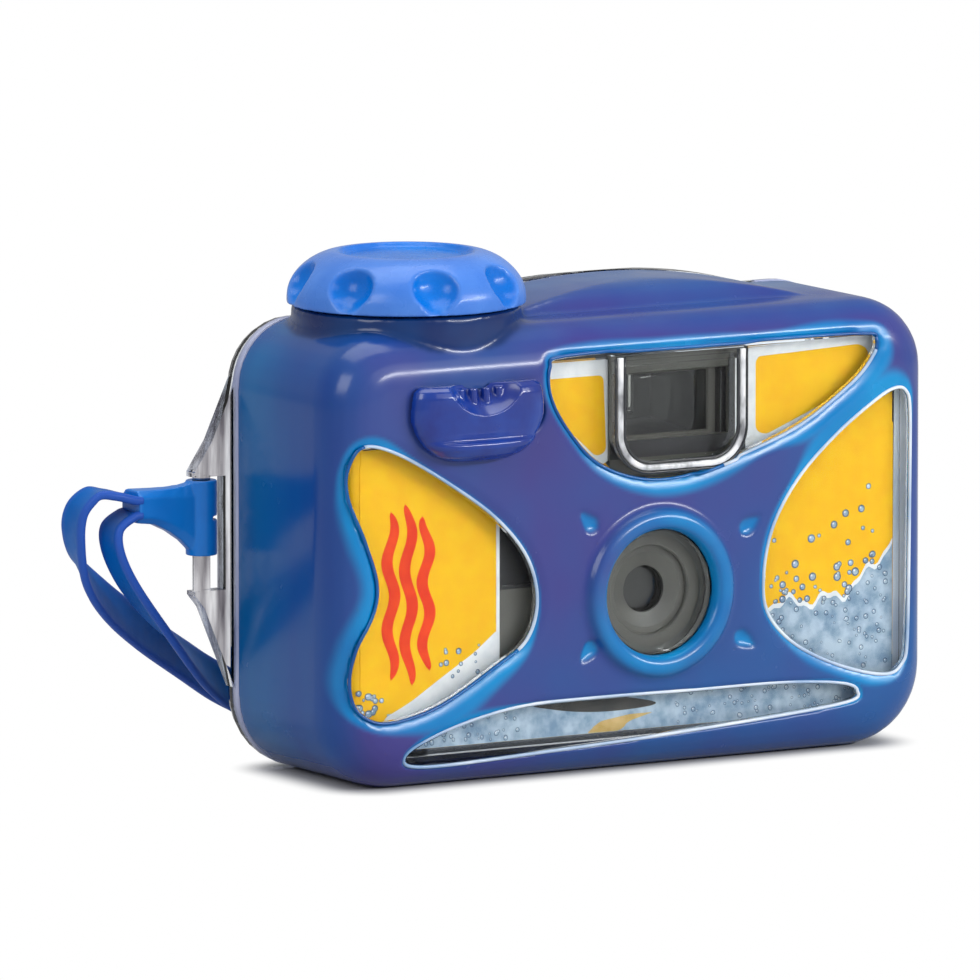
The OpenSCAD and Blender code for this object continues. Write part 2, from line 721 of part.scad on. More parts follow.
module front_panel() {
  color([0.11, 0.11, 0.12])
    difference() {
      union() {
        face_shape(7.2, panel_y, panel_y + panel_t);
        for (s = [-1, 1])
          translate([s * (panel_x - 0.8) - 0.8, panel_y + panel_t - 0.2, floor_z + 3.8])
            cube([1.6, frame_back - panel_y - panel_t, frame_top - floor_z - 0.2]);
        post(lens_x, lens_z, panel_y, frame_y + 3.1, 8.9);
      }
      post(lens_x, lens_z, -far, panel_y + panel_t, 8);
      post(lens_x, lens_z, -far, frame_y + 2.6, lens_r + 0.05);
      post(lens_x, lens_z, -far, 0, lens_r - 0.8);
      block(finder_x - tube_w + 1.2, finder_x + tube_w - 1.2, -far, far, frame_top + 1.8, finder_top - 1.2);
      block(recess[0][0], recess[1][0], -far, panel_y + 0.8, recess[0][1], recess[1][1]);
    }
}

module label_card() {
  color([1, 0.78, 0.1])
    difference() {
      union() {
        face_shape(7, label_y, label_y + label_t);
        for (s = [-1, 1])
          translate([s * (half_w - 6.98) - label_t / 2, label_y, floor_z + 8.8])
            cube([label_t, 11, frame_top - floor_z - 6.2]);
      }
      block(card_gap[0][0], card_gap[1][0], -far, far, card_gap[0][1], card_gap[1][1]);
      finder_shape(-0.8, -far, far);
    }
}

module rear_panel() {
  color([0.1, 0.1, 0.11])
    difference() {
      union() {
        inside_walls(frame_back, frame_back + 1.7)
          block(-panel_x, panel_x, frame_back + bond, frame_back + 1.7, floor_z + 1, deck_z + 1.2);
        block(finder_x - 14, finder_x + 14, frame_back + bond, frame_back + 1.7, deck_z - 7.6, body_h - 5.9);
        for (z = [lens_z - 10, lens_z + 10])
          block(-17, 20, film_y + film_t + 0.1, frame_back + 1, z - 0.6, z + 0.6);
        for (x = [knob_x, roll_x])
          translate([x, frame_back + 1, can_z + 5.8])
            cube([0.8, 1.2, cartridge_l - 6.6]);
      }
      block(finder_x - 5.6, finder_x + 5.6, 0, far, finder_z - 5.1, finder_z + 5.1);
    }
}

module top_panel() {
  color([0.1, 0.1, 0.11])
    difference() {
      union() {
        block(-frame_x, finder_x - 15, frame_y, frame_back, deck_z, deck_z + deck_t);
        block(finder_x + 15, frame_x, frame_y, frame_back, deck_z, deck_z + deck_t);
        for (x = [-frame_x, finder_x + 15])
          for (y = [frame_y, frame_back - 3])
            block(x, x + 3, y, y + 3, frame_top + bond, deck_z + 1);
        block(frame_x - 3, frame_x, frame_y, frame_y + 3, frame_top + bond, deck_z + 1);
        block(frame_x - 3, frame_x, frame_back - 3, frame_back, frame_top + bond, deck_z + 1);
        translate([counter[0], counter[1], deck_z])
          cylinder(r = 1.2, h = 3.4);
        for (x = [23.2, 36.2])
          block(finder_x + x, finder_x + x + 1.2, frame_y, frame_y + 12, deck_z, bearing_z);
      }
      translate([knob_x, 0, 0])
        cylinder(r = 6 + pass, h = 100);
      translate([button_x, button_y, 0])
        cylinder(r = 1.3 + run, h = 100);
      translate([sprocket_x, sprocket_y, 0])
        cylinder(r = 1.5 + run, h = 100);
    }
}

module taking_lens() {
  front = [for (i = [0:6]) [lens_r * i / 6, 2.6 - 0.9 * pow(i / 6, 2)]];
  back = [for (i = [6:-1:0]) [lens_r * i / 6, 0.5 - 0.5 * pow(i / 6, 2)]];
  color([0.7, 0.78, 0.85, 0.6])
    translate([lens_x, frame_y + 2.55, lens_z])
      rotate([90, 0, 0])
        rotate_extrude($fn = 72)
          polygon(concat(front, back));
}

module lens_retainer() {
  color([0.33, 0.33, 0.32])
    translate([lens_x, panel_y + panel_t - 0.05, lens_z])
      rotate([90, 0, 0])
        rotate_extrude($fn = 72)
          polygon([[4.2, 0], [7.95, 0], [7.95, 1.5], [6.8, 1.5], [4.2, 0.5]]);
}

module shutter_blade() {
  color([0.05, 0.05, 0.05])
    translate([swing[0], plate_y - 0.4, swing[1]])
      rotate([90, 0, 0])
        linear_extrude(0.5)
          difference() {
            union() {
              circle(r = 1.8);
              translate([-0.8, 0])
                square([1.6, 6.3]);
              translate([lens_x - swing[0], lens_z - swing[1]])
                circle(r = 3.8);
              rotate(atan2(lens_z - swing[1], lens_x - swing[0]))
                translate([0, -1.2])
                  square([12, 2.4]);
            }
            circle(r = pin_r + run);
          }
}

module blade_spring() {
  color([0.7, 0.7, 0.72])
    translate([swing[0], plate_y - 1.4, swing[1]])
      rotate([90, 0, 0])
        coil(pin_r + 0.7, 0.2, 3, 0.5);
}

module striker_lever() {
  color([0.75, 0.75, 0.76])
    translate([strike[0], plate_y - 1.5, strike[1]])
      rotate([90, 0, 0])
        difference() {
          union() {
            linear_extrude(1.3)
              union() {
                circle(r = 2);
                rotate(140)
                  translate([0, -1])
                    square([8.5, 2]);
                rotate(atan2(-5, 1.6))
                  translate([0, -1])
                    square([5.6, 2]);
              }
            translate([1.6, -5, -0.95])
              cylinder(r = 0.5, h = 1.2, $fn = 24);
          }
          translate([0, 0, -2])
            cylinder(r = pin_r + run, h = 5);
        }
}

module striker_spring() {
  color([0.7, 0.7, 0.72])
    translate([strike[0], plate_y - 3.15, strike[1]])
      rotate([90, 0, 0])
        coil(pin_r + 0.7, 0.2, 2, 0.45);
}

module latch_lever() {
  color([0.75, 0.75, 0.76])
    difference() {
      union() {
        block(rocker_x - 11.8, rocker_x + rocker_reach, button_y - 1, button_y + 0.4, rocker_z - 0.7,
          rocker_z + 0.7);
        post(rocker_x, rocker_z, button_y - 1, button_y + 0.4, 1.6);
      }
      post(rocker_x, rocker_z, button_y - 5, button_y + 5, pin_r + run);
    }
}

module release_button() {
  color([0.85, 0.2, 0.15])
    translate([button_x, button_y, rocker_z + 0.9]) {
      cylinder(r1 = 0.5, r2 = 1.3, h = 1);
      translate([0, 0, 1])
        cylinder(r = 1.3, h = pivot_z - 1.6 - 0.2 - rocker_z - 1.9);
    }
}

module sprocket() {
  color([0.85, 0.85, 0.82])
    translate([sprocket_x, sprocket_y, 0]) {
      translate([0, 0, perf_z - 0.9])
        linear_extrude(1.8)
          union() {
            circle(r = 5.6);
            for (i = [0:sprocket_teeth - 1])
              rotate(360 * i / sprocket_teeth)
                translate([4, -0.7])
                  square([sprocket_r - 4.02, 1.4]);
          }
      translate([0, 0, perf_z])
        cylinder(r = 1.5, h = deck_z + deck_t - perf_z);
      translate([0, 0, deck_z])
        cylinder(r = 1, h = deck_t + 1.4);
    }
}

module metering_cam() {
  color([0.8, 0.8, 0.78])
    translate([sprocket_x, sprocket_y, frame_top + 0.6])
      difference() {
        cylinder(r = 4.5, h = 1.6);
        translate([0, 0, -1])
          cylinder(r = 1.52, h = 4);
        translate([3.4, -0.8, -1])
          cube([3, 1.6, 4]);
      }
}

module counter_disc() {
  color([0.92, 0.92, 0.9])
    translate([counter[0], counter[1], deck_z + deck_t + pass])
      difference() {
        cylinder(r = 7, h = 1);
        translate([0, 0, -1])
          cylinder(r = 1.2 + run, h = 4);
      }
}

module thumbwheel() {
  teeth = 36;
  rim = [for (i = [0:teeth - 1]) each [wheel_r * [cos(360 * i / teeth), sin(360 * i / teeth)],
    (wheel_r - 0.7) * [cos(360 * (i + 0.2) / teeth), sin(360 * (i + 0.2) / teeth)]]];
  color([0.13, 0.13, 0.14])
    translate([knob_x, 0, wheel_z])
      difference() {
        union() {
          linear_extrude(wheel_t)
            polygon(rim);
          cylinder(r = 6, h = 6);
          translate([-2.3, -0.7, -1.3])
            cube([4.6, 1.4, 2]);
        }
        translate([-3, -1, 2.4])
          cube([6, 2, 9]);
      }
}

module ratchet_pawl() {
  color([0.13, 0.13, 0.14])
    linear_extrude_at(wheel_z + 0.5)
      polygon([[knob_x - 10, wheel_r + 0.6], [knob_x - 2, wheel_r + 0.4], [knob_x - 1, wheel_r + 0.5],
        [knob_x - 2, wheel_r + 1.6], [knob_x - 8, wheel_r + 2.4], [knob_x - 10, wheel_r + 2.4]]);
}

module linear_extrude_at(z) {
  translate([0, 0, z])
    linear_extrude(2)
      children();
}

module finder_tube() {
  x0 = finder_x - tube_w;
  x1 = finder_x + tube_w;
  color([0.07, 0.07, 0.08])
    difference() {
      block(x0, x1, frame_y, frame_back, frame_top + bond, finder_top);
      block(x0 + 1.2, x1 - 1.2, frame_y - 1, frame_back - 5, frame_top + 1.8, finder_top - 1.2);
      block(finder_x - 6, finder_x + 6, 0, far, finder_z - 5.5, finder_z + 5.5);
    }
}

module finder_front_lens() {
  color([0.7, 0.78, 0.85, 0.6])
    difference() {
      block(finder_x - tube_w + 1.3, finder_x + tube_w - 1.3, frame_y + 0.2, frame_y + 2.6,
        frame_top + 1.9, finder_top - 1.3);
      translate([finder_x, frame_y + 31.4, finder_z])
        sphere(r = 30, $fn = 96);
    }
}

module finder_eyepiece() {
  color([0.7, 0.78, 0.85, 0.6])
    block(finder_x - 5.9, finder_x + 5.9, frame_back - 3.4, frame_back - 1.2,
      finder_z - 5.4, finder_z + 5.4);
}

module cartridge_shell() {
  z0 = can_z + 0.85;
  h = cartridge_l - 1.7;
  color([0.95, 0.75, 0.15])
    difference() {
      union() {
        translate([knob_x, 0, z0])
          cylinder(r = cartridge_r, h = h);
        block(knob_x, knob_x + 11, film_y - 0.75, cartridge_r - 0.05, z0, z0 + h);
      }
      translate([knob_x, 0, z0 - 1])
        cylinder(r = cartridge_r - 0.4, h = h + 2);
      block(knob_x, knob_x + 20, film_y - 0.12, film_y + film_t + 0.08, can_z + 4.4, can_top - 4.4);
    }
}

module cartridge_caps() {
  color([0.55, 0.56, 0.58])
    for (z = [can_z, can_top - 0.8])
      translate([knob_x, 0, z])
        difference() {
          cylinder(r = cartridge_r + 0.2, h = 0.8);
          translate([0, 0, -1])
            cylinder(r = 5.2, h = 3);
        }
}

module cartridge_spool() {
  color([0.12, 0.12, 0.13])
    translate([knob_x, 0, 0])
      difference() {
        union() {
          translate([0, 0, can_z + 0.9])
            cylinder(r = 7.4, h = cartridge_l - 1.9);
          translate([0, 0, can_z + 0.1])
            cylinder(r = 5, h = cartridge_l + 1.2);
        }
        translate([-2.6, -0.95, can_top - 0.6])
          cube([5.2, 1.9, 5]);
      }
}

module film_strip() {
  pitch = 4.75;
  color([0.32, 0.2, 0.14])
    difference() {
      block(knob_x + 3.4, roll_x, film_y, film_y + film_t, lens_z - film_w / 2, lens_z + film_w / 2);
      for (i = [0:13])
        for (s = [-1, 1])
          translate([-26 + pitch * i, film_y - 1, lens_z + s * (film_w / 2 - 3.4) - 1.4])
            cube([2, 3, 2.8]);
    }
}

module film_roll() {
  color([0.32, 0.2, 0.14])
    translate([roll_x, roll_y, lens_z - film_w / 2])
      difference() {
        cylinder(r = roll_r, h = film_w, $fn = 96);
        translate([0, 0, -1])
          cylinder(r = 4.2, h = film_w + 2);
      }
}

module supply_spool() {
  color([0.12, 0.12, 0.13])
    translate([roll_x, roll_y, can_z])
      difference() {
        union() {
          cylinder(r = 4.15, h = cartridge_l);
          cylinder(r = roll_r, h = 1.2);
        }
        translate([0, 0, -1])
          cylinder(r = 1.4 + run, h = 8);
      }
}

front_skin();
front_shell();
rear_cover();
seam_gasket();
lens_window();
wind_knob();
drive_shaft();
knob_seal();
knob_clip();
shutter_lever();
lever_shaft();
lever_seal();
lever_clip();
release_arm();
lever_spring();
strap_connector();
strap_band();
camera_frame();
front_panel();
rear_panel();
top_panel();
label_card();
taking_lens();
lens_retainer();
shutter_blade();
blade_spring();
striker_lever();
striker_spring();
latch_lever();
release_button();
sprocket();
metering_cam();
counter_disc();
thumbwheel();
ratchet_pawl();
finder_tube();
finder_front_lens();
finder_eyepiece();
cartridge_shell();
cartridge_caps();
cartridge_spool();
film_strip();
film_roll();
supply_spool();
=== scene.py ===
import math
import random

import bmesh
import bpy
import numpy as np
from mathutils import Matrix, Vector
from mathutils.bvhtree import BVHTree


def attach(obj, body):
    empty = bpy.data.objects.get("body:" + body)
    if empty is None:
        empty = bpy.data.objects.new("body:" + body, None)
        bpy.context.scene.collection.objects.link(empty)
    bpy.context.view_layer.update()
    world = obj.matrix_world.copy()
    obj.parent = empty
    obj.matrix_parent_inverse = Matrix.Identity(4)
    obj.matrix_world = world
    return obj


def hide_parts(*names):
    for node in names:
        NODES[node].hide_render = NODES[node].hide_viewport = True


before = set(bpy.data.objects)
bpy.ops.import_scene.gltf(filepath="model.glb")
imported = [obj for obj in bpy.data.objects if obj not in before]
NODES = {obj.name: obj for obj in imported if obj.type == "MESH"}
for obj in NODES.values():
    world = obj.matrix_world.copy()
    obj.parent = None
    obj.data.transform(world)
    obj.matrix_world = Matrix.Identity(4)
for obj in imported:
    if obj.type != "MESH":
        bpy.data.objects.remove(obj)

MM = 0.001
SCENE = bpy.context.scene
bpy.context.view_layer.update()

# Places and sizes on the housing, in millimetres, as the model has them.
LENS = (3.9, 31.8)
FINDER = (8.0, 64.8)
KNOB = (-35.2, 83.9)
KNOB_R = 21.2
KNOB_H = 9.2
COLLAR_R = 20.4
BODY_TOP = 80.8
BODY_HALF = 62.0
FRONT_Y = -22.0
LABEL_Y = -17.6
CARD_LEFT = -26.9
CARD_RIGHT = 25.0

# Points of a smooth curve from one given point to the next.
CURVE_STEPS = 8

# Outlines of the four clear windows, x and z.
KIDNEY = [(-56.2, 61.7), (-49.6, 60), (-39.3, 54.1), (-29.7, 47.3), (-23.4, 40), (-21.3, 32.3), (-23.4, 25.5),
          (-29.7, 21.2), (-41.3, 15), (-51.5, 12.8), (-56.8, 14.6), (-58.5, 19.2), (-57.6, 25.6),
          (-54.3, 32.6), (-53.8, 38), (-56.1, 45.5), (-58.6, 52.5), (-58.7, 57.9)]
BROW = [(-18.2, 73.4), (-14.6, 75.1), (12.8, 75.2), (45.3, 75), (49.5, 73.8), (48, 70.3), (43.8, 66.3),
        (33.4, 59.8), (20.8, 55.3), (10.1, 52.5), (0.6, 52.5), (-8.4, 55.8), (-14.5, 62), (-18.1, 68.3)]
CHEEK = [(53.5, 64.7), (55.8, 64.1), (56.8, 60.7), (56.8, 48), (56.6, 33.4), (56.2, 19), (55, 15.1),
         (51.5, 13.6), (42.9, 15.6), (33.2, 20.1), (27.3, 25.9), (26.1, 32.3), (27.9, 41.3), (33.2, 49.8),
         (41.3, 57.3), (49.7, 63)]
SMILE = [(-47.7, 6.6), (-39.2, 10.4), (-25, 13.3), (-8.7, 13.7), (10.2, 13.5), (29.1, 13.4), (41.7, 12.4),
         (45.5, 10.8), (41.7, 8.9), (12, 6.7), (-16.8, 5.2), (-43.4, 4.3)]
WINDOWS = {"kidney": KIDNEY, "brow": BROW, "cheek": CHEEK, "smile": SMILE}


def srgb(r, g, b):
    """A colour given as it looks on a screen, 0 to 255, as linear values."""
    def linear(v):
        v /= 255
        return v / 12.92 if v <= 0.04045 else ((v + 0.055) / 1.055) ** 2.4
    return (linear(r), linear(g), linear(b), 1.0)


def smooth(v):
    """An eased step from 0 to 1."""
    c = np.clip(v, 0, 1)
    return c * c * (3 - 2 * c)


# Camera: angles in radians, places in metres, lens and sensor in millimetres

AZIMUTH = math.radians(-30.92)
ELEVATION = math.radians(8.0)
AIM = Vector((-0.0182035, -0.0004321, 0.0491338))
DISTANCE = 3.0
FOCAL_LENGTH = 620.45
SENSOR_WIDTH = 36


def make_camera():
    back = Vector((math.sin(AZIMUTH) * math.cos(ELEVATION), -math.cos(AZIMUTH) * math.cos(ELEVATION),
                   math.sin(ELEVATION)))
    data = bpy.data.cameras.new("camera")
    data.lens = FOCAL_LENGTH
    data.sensor_width = SENSOR_WIDTH
    camera = bpy.data.objects.new("camera", data)
    camera.location = AIM + DISTANCE * back
    camera.rotation_euler = back.to_track_quat("Z", "Y").to_euler()
    SCENE.collection.objects.link(camera)
    SCENE.camera = camera


# Mesh helpers

WELD_GAP = 1e-6
SOFTEN = 0.5
EASE = 0.6


def add_object(name, mesh, body, smooth_faces=True):
    piece = bpy.data.objects.new(name, mesh)
    SCENE.collection.objects.link(piece)
    for face in mesh.polygons:
        face.use_smooth = smooth_faces
    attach(piece, body)
    return piece


def mesh_from(name, points, faces):
    mesh = bpy.data.meshes.new(name)
    mesh.from_pydata([tuple(v * MM for v in p) for p in points], [], faces)
    mesh.update()
    return mesh


def add_piece(name, points, faces, material, slot, smooth_faces=True):
    """A new piece that rides on the housing."""
    piece = add_object(name, mesh_from(name, points, faces), "housing", smooth_faces)
    piece.data.materials.append(material)


def quarter_turn(steps=12):
    """Angles over a quarter turn, both ends included."""
    return [math.pi / 2 * k / steps for k in range(steps + 1)]


def full_turn(sides):
    """Angles of the corners of a regular outline."""
    return [2 * math.pi * k / sides for k in range(sides)]


def catmull(points, per, closed):
    """Points along a smooth curve through the given ones."""
    p = [np.array(q, float) for q in points]
    n = len(p)
    out = []
    for i in range(n if closed else n - 1):
        a, b, c, d = ((p[(i + k) % n] for k in (-1, 0, 1, 2)) if closed else
                      (p[min(max(i + k, 0), n - 1)] for k in (-1, 0, 1, 2)))
        for j in range(per):
            t = j / per
            out.append(0.5 * (2 * b + (c - a) * t + (2 * a - 5 * b + 4 * c - d) * t * t
                              + (3 * b - a - 3 * c + d) * t ** 3))
    if not closed:
        out.append(p[-1])
    return out


def sweep(rings, closed=False):
    """Points and faces of a solid through rings of equal count."""
    n = len(rings[0])
    m = len(rings)
    points = [q for ring in rings for q in ring]
    faces = []
    for k in range(m if closed else m - 1):
        for i in range(n):
            a = k * n + i
            b = k * n + (i + 1) % n
            shift = ((k + 1) % m - k) * n
            faces.append((a, b, b + shift, a + shift))
    if not closed:
        faces.append(tuple(range(n))[::-1])
        faces.append(tuple(range(len(points) - n, len(points))))
    return points, faces


def bead(name, path, radius, material, slot, closed=True, sides=8):
    """A thin round bead along a path on the front."""
    n = len(path)
    forward = np.array((0.0, -1.0, 0.0))
    rings = []
    for i, p in enumerate(path):
        before = path[i - 1] if closed else path[max(i - 1, 0)]
        after = path[(i + 1) % n] if closed else path[min(i + 1, n - 1)]
        across = np.cross(after - before, (0.0, 1.0, 0.0))
        across /= np.linalg.norm(across)
        rings.append([p + radius * (math.cos(a) * across + math.sin(a) * forward) for a in full_turn(sides)])
    add_piece(name, *sweep(rings, closed), material, slot)


def moulded(node, name, body, voxel, passes):
    """A soft-edged moulded copy of a node, which it replaces."""
    source = NODES[node]
    mesh = source.data.copy()
    mesh.transform(source.matrix_world)
    welded = bmesh.new()
    welded.from_mesh(mesh)
    bmesh.ops.remove_doubles(welded, verts=welded.verts, dist=WELD_GAP)
    welded.to_mesh(mesh)
    welded.free()
    mesh.materials.clear()
    rough = bpy.data.objects.new(name + "_rough", mesh)
    SCENE.collection.objects.link(rough)
    remesh = rough.modifiers.new("remesh", "REMESH")
    remesh.mode = "VOXEL"
    remesh.voxel_size = voxel * MM
    soften = rough.modifiers.new("soften", "SMOOTH")
    soften.factor = SOFTEN
    soften.iterations = passes
    graph = bpy.context.evaluated_depsgraph_get()
    done = bpy.data.meshes.new_from_object(rough.evaluated_get(graph))
    bpy.data.objects.remove(rough)
    piece = add_object(name, done, body)
    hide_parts(node)
    return piece


def vertex_data(mesh):
    """The places in millimetres, the normals and the edges of a mesh."""
    count = len(mesh.vertices)
    place = np.empty(count * 3)
    normal = np.empty(count * 3)
    edge = np.empty(len(mesh.edges) * 2, dtype=np.int64)
    mesh.vertices.foreach_get("co", place)
    mesh.vertex_normals.foreach_get("vector", normal)
    mesh.edges.foreach_get("vertices", edge)
    return place.reshape(-1, 3) / MM, normal.reshape(-1, 3), edge.reshape(-1, 2)


def spread(value, edge, rounds):
    """A value on the vertices, eased outwards over the mesh."""
    count = np.zeros(len(value))
    np.add.at(count, edge[:, 0], 1)
    np.add.at(count, edge[:, 1], 1)
    for _ in range(rounds):
        total = np.zeros(len(value))
        np.add.at(total, edge[:, 0], value[edge[:, 1]])
        np.add.at(total, edge[:, 1], value[edge[:, 0]])
        value = (1 - EASE) * value + EASE * total / np.maximum(count, 1)
    return value


def store(mesh, name, value):
    """A value on each vertex, kept for the materials to read."""
    layer = mesh.attributes.new(name, "FLOAT", "POINT")
    layer.data.foreach_set("value", np.clip(value, 0, 1).astype(np.float32))


def nearest(place, line):
    """Distance in the front's plane from each place to a closed line, worked out in chunks to save memory."""
    start = np.array(line)
    run = np.roll(start, -1, axis=0) - start
    square = (run ** 2).sum(axis=1)
    out = np.empty(len(place))
    chunk = 4000
    for first in range(0, len(place), chunk):
        off = place[first:first + chunk, None, :] - start[None, :, :]
        along = np.clip((off * run).sum(axis=2) / square, 0, 1)
        gap = off - along[:, :, None] * run[None, :, :]
        out[first:first + chunk] = np.sqrt((gap ** 2).sum(axis=2).min(axis=1))
    return out


# Material helpers

# The part of a noise's range over which colours and gloss drift.
NOISE_SPAN = (0.3, 0.7)


class Shader:
    """A material with one shader node and short calls for the nodes that feed it."""

    def __init__(self, name):
        self.material = bpy.data.materials.new(name)
        self.material.use_nodes = True
        self.tree = self.material.node_tree
        self.bsdf = self.tree.nodes["Principled BSDF"]
        self.place = self.tree.nodes.new("ShaderNodeTexCoord").outputs["Object"]

    def set(self, **values):
        for key, value in values.items():
            self.bsdf.inputs[key.replace("_", " ")].default_value = value
        return self

    def link(self, output, socket):
        self.tree.links.new(output, self.bsdf.inputs[socket])
        return self

    def noise(self, scale, detail=3, stretch=(1, 1, 1)):
        mapping = self.tree.nodes.new("ShaderNodeMapping")
        mapping.inputs["Scale"].default_value = stretch
        self.tree.links.new(self.place, mapping.inputs["Vector"])
        node = self.tree.nodes.new("ShaderNodeTexNoise")
        node.inputs["Scale"].default_value = scale
        node.inputs["Detail"].default_value = detail
        self.tree.links.new(mapping.outputs["Vector"], node.inputs["Vector"])
        return node.outputs["Fac"]

    def attribute(self, name):
        node = self.tree.nodes.new("ShaderNodeAttribute")
        node.attribute_name = name
        return node.outputs["Fac"]

    def facing(self, blend):
        node = self.tree.nodes.new("ShaderNodeLayerWeight")
        node.inputs["Blend"].default_value = blend
        return node.outputs["Facing"]

    def ramp(self, value, *stops):
        node = self.tree.nodes.new("ShaderNodeValToRGB")
        ramp = node.color_ramp
        while len(ramp.elements) < len(stops):
            ramp.elements.new(0.5)
        for element, (at, colour) in zip(ramp.elements, stops):
            element.position = at
            element.color = colour if len(colour) == 4 else (*colour, 1)
        self.tree.links.new(value, node.inputs["Fac"])
        return node.outputs["Color"]

    def between(self, value, low, high, out_low=0.0, out_high=1.0):
        node = self.tree.nodes.new("ShaderNodeMapRange")
        for key, number in zip(("From Min", "From Max", "To Min", "To Max"), (low, high, out_low, out_high)):
            node.inputs[key].default_value = number
        self.tree.links.new(value, node.inputs["Value"])
        return node.outputs["Result"]

    def tone(self, scale, detail, dark, light, stretch=(1, 1, 1)):
        """A colour that drifts between two tones."""
        low, high = NOISE_SPAN
        return self.ramp(self.noise(scale, detail, stretch), (low, dark), (high, light))

    def gloss(self, scale, detail, low, high):
        """Roughness that drifts between two values."""
        return self.link(self.between(self.noise(scale, detail), *NOISE_SPAN, low, high), "Roughness")

    def axis(self, letter):
        node = self.tree.nodes.new("ShaderNodeSeparateXYZ")
        self.tree.links.new(self.place, node.inputs["Vector"])
        return node.outputs[letter]

    def mix(self, factor, first, second):
        node = self.tree.nodes.new("ShaderNodeMix")
        node.data_type = "RGBA"
        for socket, value in ((node.inputs[0], factor), (node.inputs[6], first), (node.inputs[7], second)):
            if isinstance(value, (tuple, float)):
                socket.default_value = value
            else:
                self.tree.links.new(value, socket)
        return node.outputs[2]

    def bump(self, height, depth, strength=0.3):
        node = self.tree.nodes.new("ShaderNodeBump")
        node.inputs["Strength"].default_value = strength
        node.inputs["Distance"].default_value = depth * MM
        self.tree.links.new(height, node.inputs["Height"])
        self.tree.links.new(node.outputs["Normal"], self.bsdf.inputs["Normal"])
        return self


def plastic(name, dark, light, rough=(0.25, 0.4), grain=900, depth=0.02):
    """Moulded plastic: a drift of tone, a fine grain and uneven gloss."""
    s = Shader(name)
    s.link(s.tone(60, 4, dark, light), "Base Color")
    s.gloss(220, 4, *rough)
    s.bump(s.noise(grain, 2), depth)
    return s.material


def clear(name, face, edge, ior, rough, depth):
    """Clear moulded plastic with faint flow waves, darker where it is seen edge on, a painted dark
    reflection.
    """
    s = Shader(name).set(Transmission_Weight=1.0, IOR=ior)
    s.link(s.ramp(s.facing(0.5), (0.6, face), (1.0, edge)), "Base Color")
    s.gloss(140, 3, rough, rough + 0.04)
    s.bump(s.noise(90, 2), depth, 0.15)
    return s.material


def metal(name, dark, light, rough):
    """Drawn metal with a grain along its height."""
    s = Shader(name).set(Metallic=1.0)
    s.link(s.tone(500, 4, dark, light, (1, 1, 0.1)), "Base Color")
    s.gloss(900, 3, *rough)
    s.bump(s.noise(1500, 2, (1, 1, 0.2)), 0.01)
    return s.material


def ink(name, dark, light):
    """Printed card: an even colour with paper fibre and a little print mottle."""
    s = Shader(name).set(Specular_IOR_Level=0.2)
    s.link(s.ramp(s.noise(350, 5), (0.35, dark), (0.65, light)), "Base Color")
    s.gloss(1200, 3, 0.45, 0.6)
    s.bump(s.noise(2500, 3), 0.01)
    return s.material


# Depths at which the painted shade and reflection on the side of the skin turn from deep blue to teal, and
# the place where the rear cover's loop, with its painted streaks, ends, in metres.
TEAL_SPAN = (-0.006, 0.008)
LOOP_SPAN = (-0.0632, -0.0622)


def skin_material():
    """Dyed blue plastic with painted light and shade: painted bright bands where light runs through its thin
    edges, painted shade and reflection on its side and top, and painted shade on the collar under the knob.
    """
    s = Shader("skin_blue").set(IOR=1.5, Specular_IOR_Level=0.4, Coat_Weight=0.05, Coat_Roughness=0.12)
    face = s.ramp(s.noise(26, 3, (1, 1, 0.7)), (0.32, srgb(62, 58, 130)), (0.52, srgb(46, 72, 140)),
                  (0.72, srgb(28, 86, 150)))
    # Painted shade and reflection: the side and top take these colours by the way they face.
    deep = s.ramp(s.noise(40, 3, (1, 1, 0.3)), (0.34, srgb(22, 52, 132)), (0.66, srgb(6, 72, 144)))
    teal = s.ramp(s.noise(50, 3, (1, 1, 0.3)), (0.34, srgb(2, 80, 146)), (0.66, srgb(2, 100, 160)))
    side = s.mix(s.between(s.axis("Y"), *TEAL_SPAN), deep, teal)
    body = s.mix(s.attribute("flank"), face, side)
    # Painted light where it runs through the thin skin round the windows, on the lens ring and in the
    # dimples.
    rim = s.tone(60, 2, srgb(0, 108, 178), srgb(0, 144, 206))
    edged = s.mix(s.attribute("rim"), body, rim)
    # Painted shade on the collar under the knob.
    collar = s.tone(80, 2, srgb(8, 36, 92), srgb(4, 56, 114))
    s.link(s.mix(s.attribute("collar"), edged, collar), "Base Color")
    s.gloss(120, 4, 0.18, 0.28)
    s.bump(s.noise(26, 2), 0.2, 0.2)
    return s.material


def lug_material():
    """The rear cover: clear, darker where seen edge on as a painted dark reflection, with grey and white
    streaks on its moulded loop at the left, painted refraction.
    """
    s = Shader("clear_cover").set(Transmission_Weight=1.0, IOR=1.3)
    plain = s.ramp(s.facing(0.5), (0.35, srgb(246, 250, 255)), (0.95, srgb(120, 124, 134)))
    painted_streak = s.ramp(s.noise(420, 3, (1, 1, 0.12)), (0.36, srgb(84, 80, 86)), (0.52, srgb(176, 174, 178)),
                    (0.66, srgb(238, 238, 240)))
    loop = s.between(s.axis("X"), *LOOP_SPAN)
    s.link(s.mix(loop, painted_streak, plain), "Base Color")
    s.gloss(140, 3, 0.02, 0.06)
    s.bump(s.noise(90, 2), 0.05, 0.15)
    return s.material


BLACK = plastic("black_plastic", srgb(18, 18, 20), srgb(28, 28, 30), (0.35, 0.5), 1400, 0.03)
GREY = plastic("grey_plastic", srgb(82, 81, 74), srgb(98, 96, 88), (0.4, 0.55), 1400, 0.03)
STEEL = metal("spring_steel", srgb(140, 142, 146), srgb(190, 192, 196), (0.2, 0.35))
CLEAR = clear("clear_plastic", srgb(250, 253, 255), srgb(110, 114, 124), 1.2, 0.01, 0.03)
GLASS = clear("lens_plastic", srgb(206, 206, 200), srgb(90, 90, 88), 1.46, 0.0, 0.01)
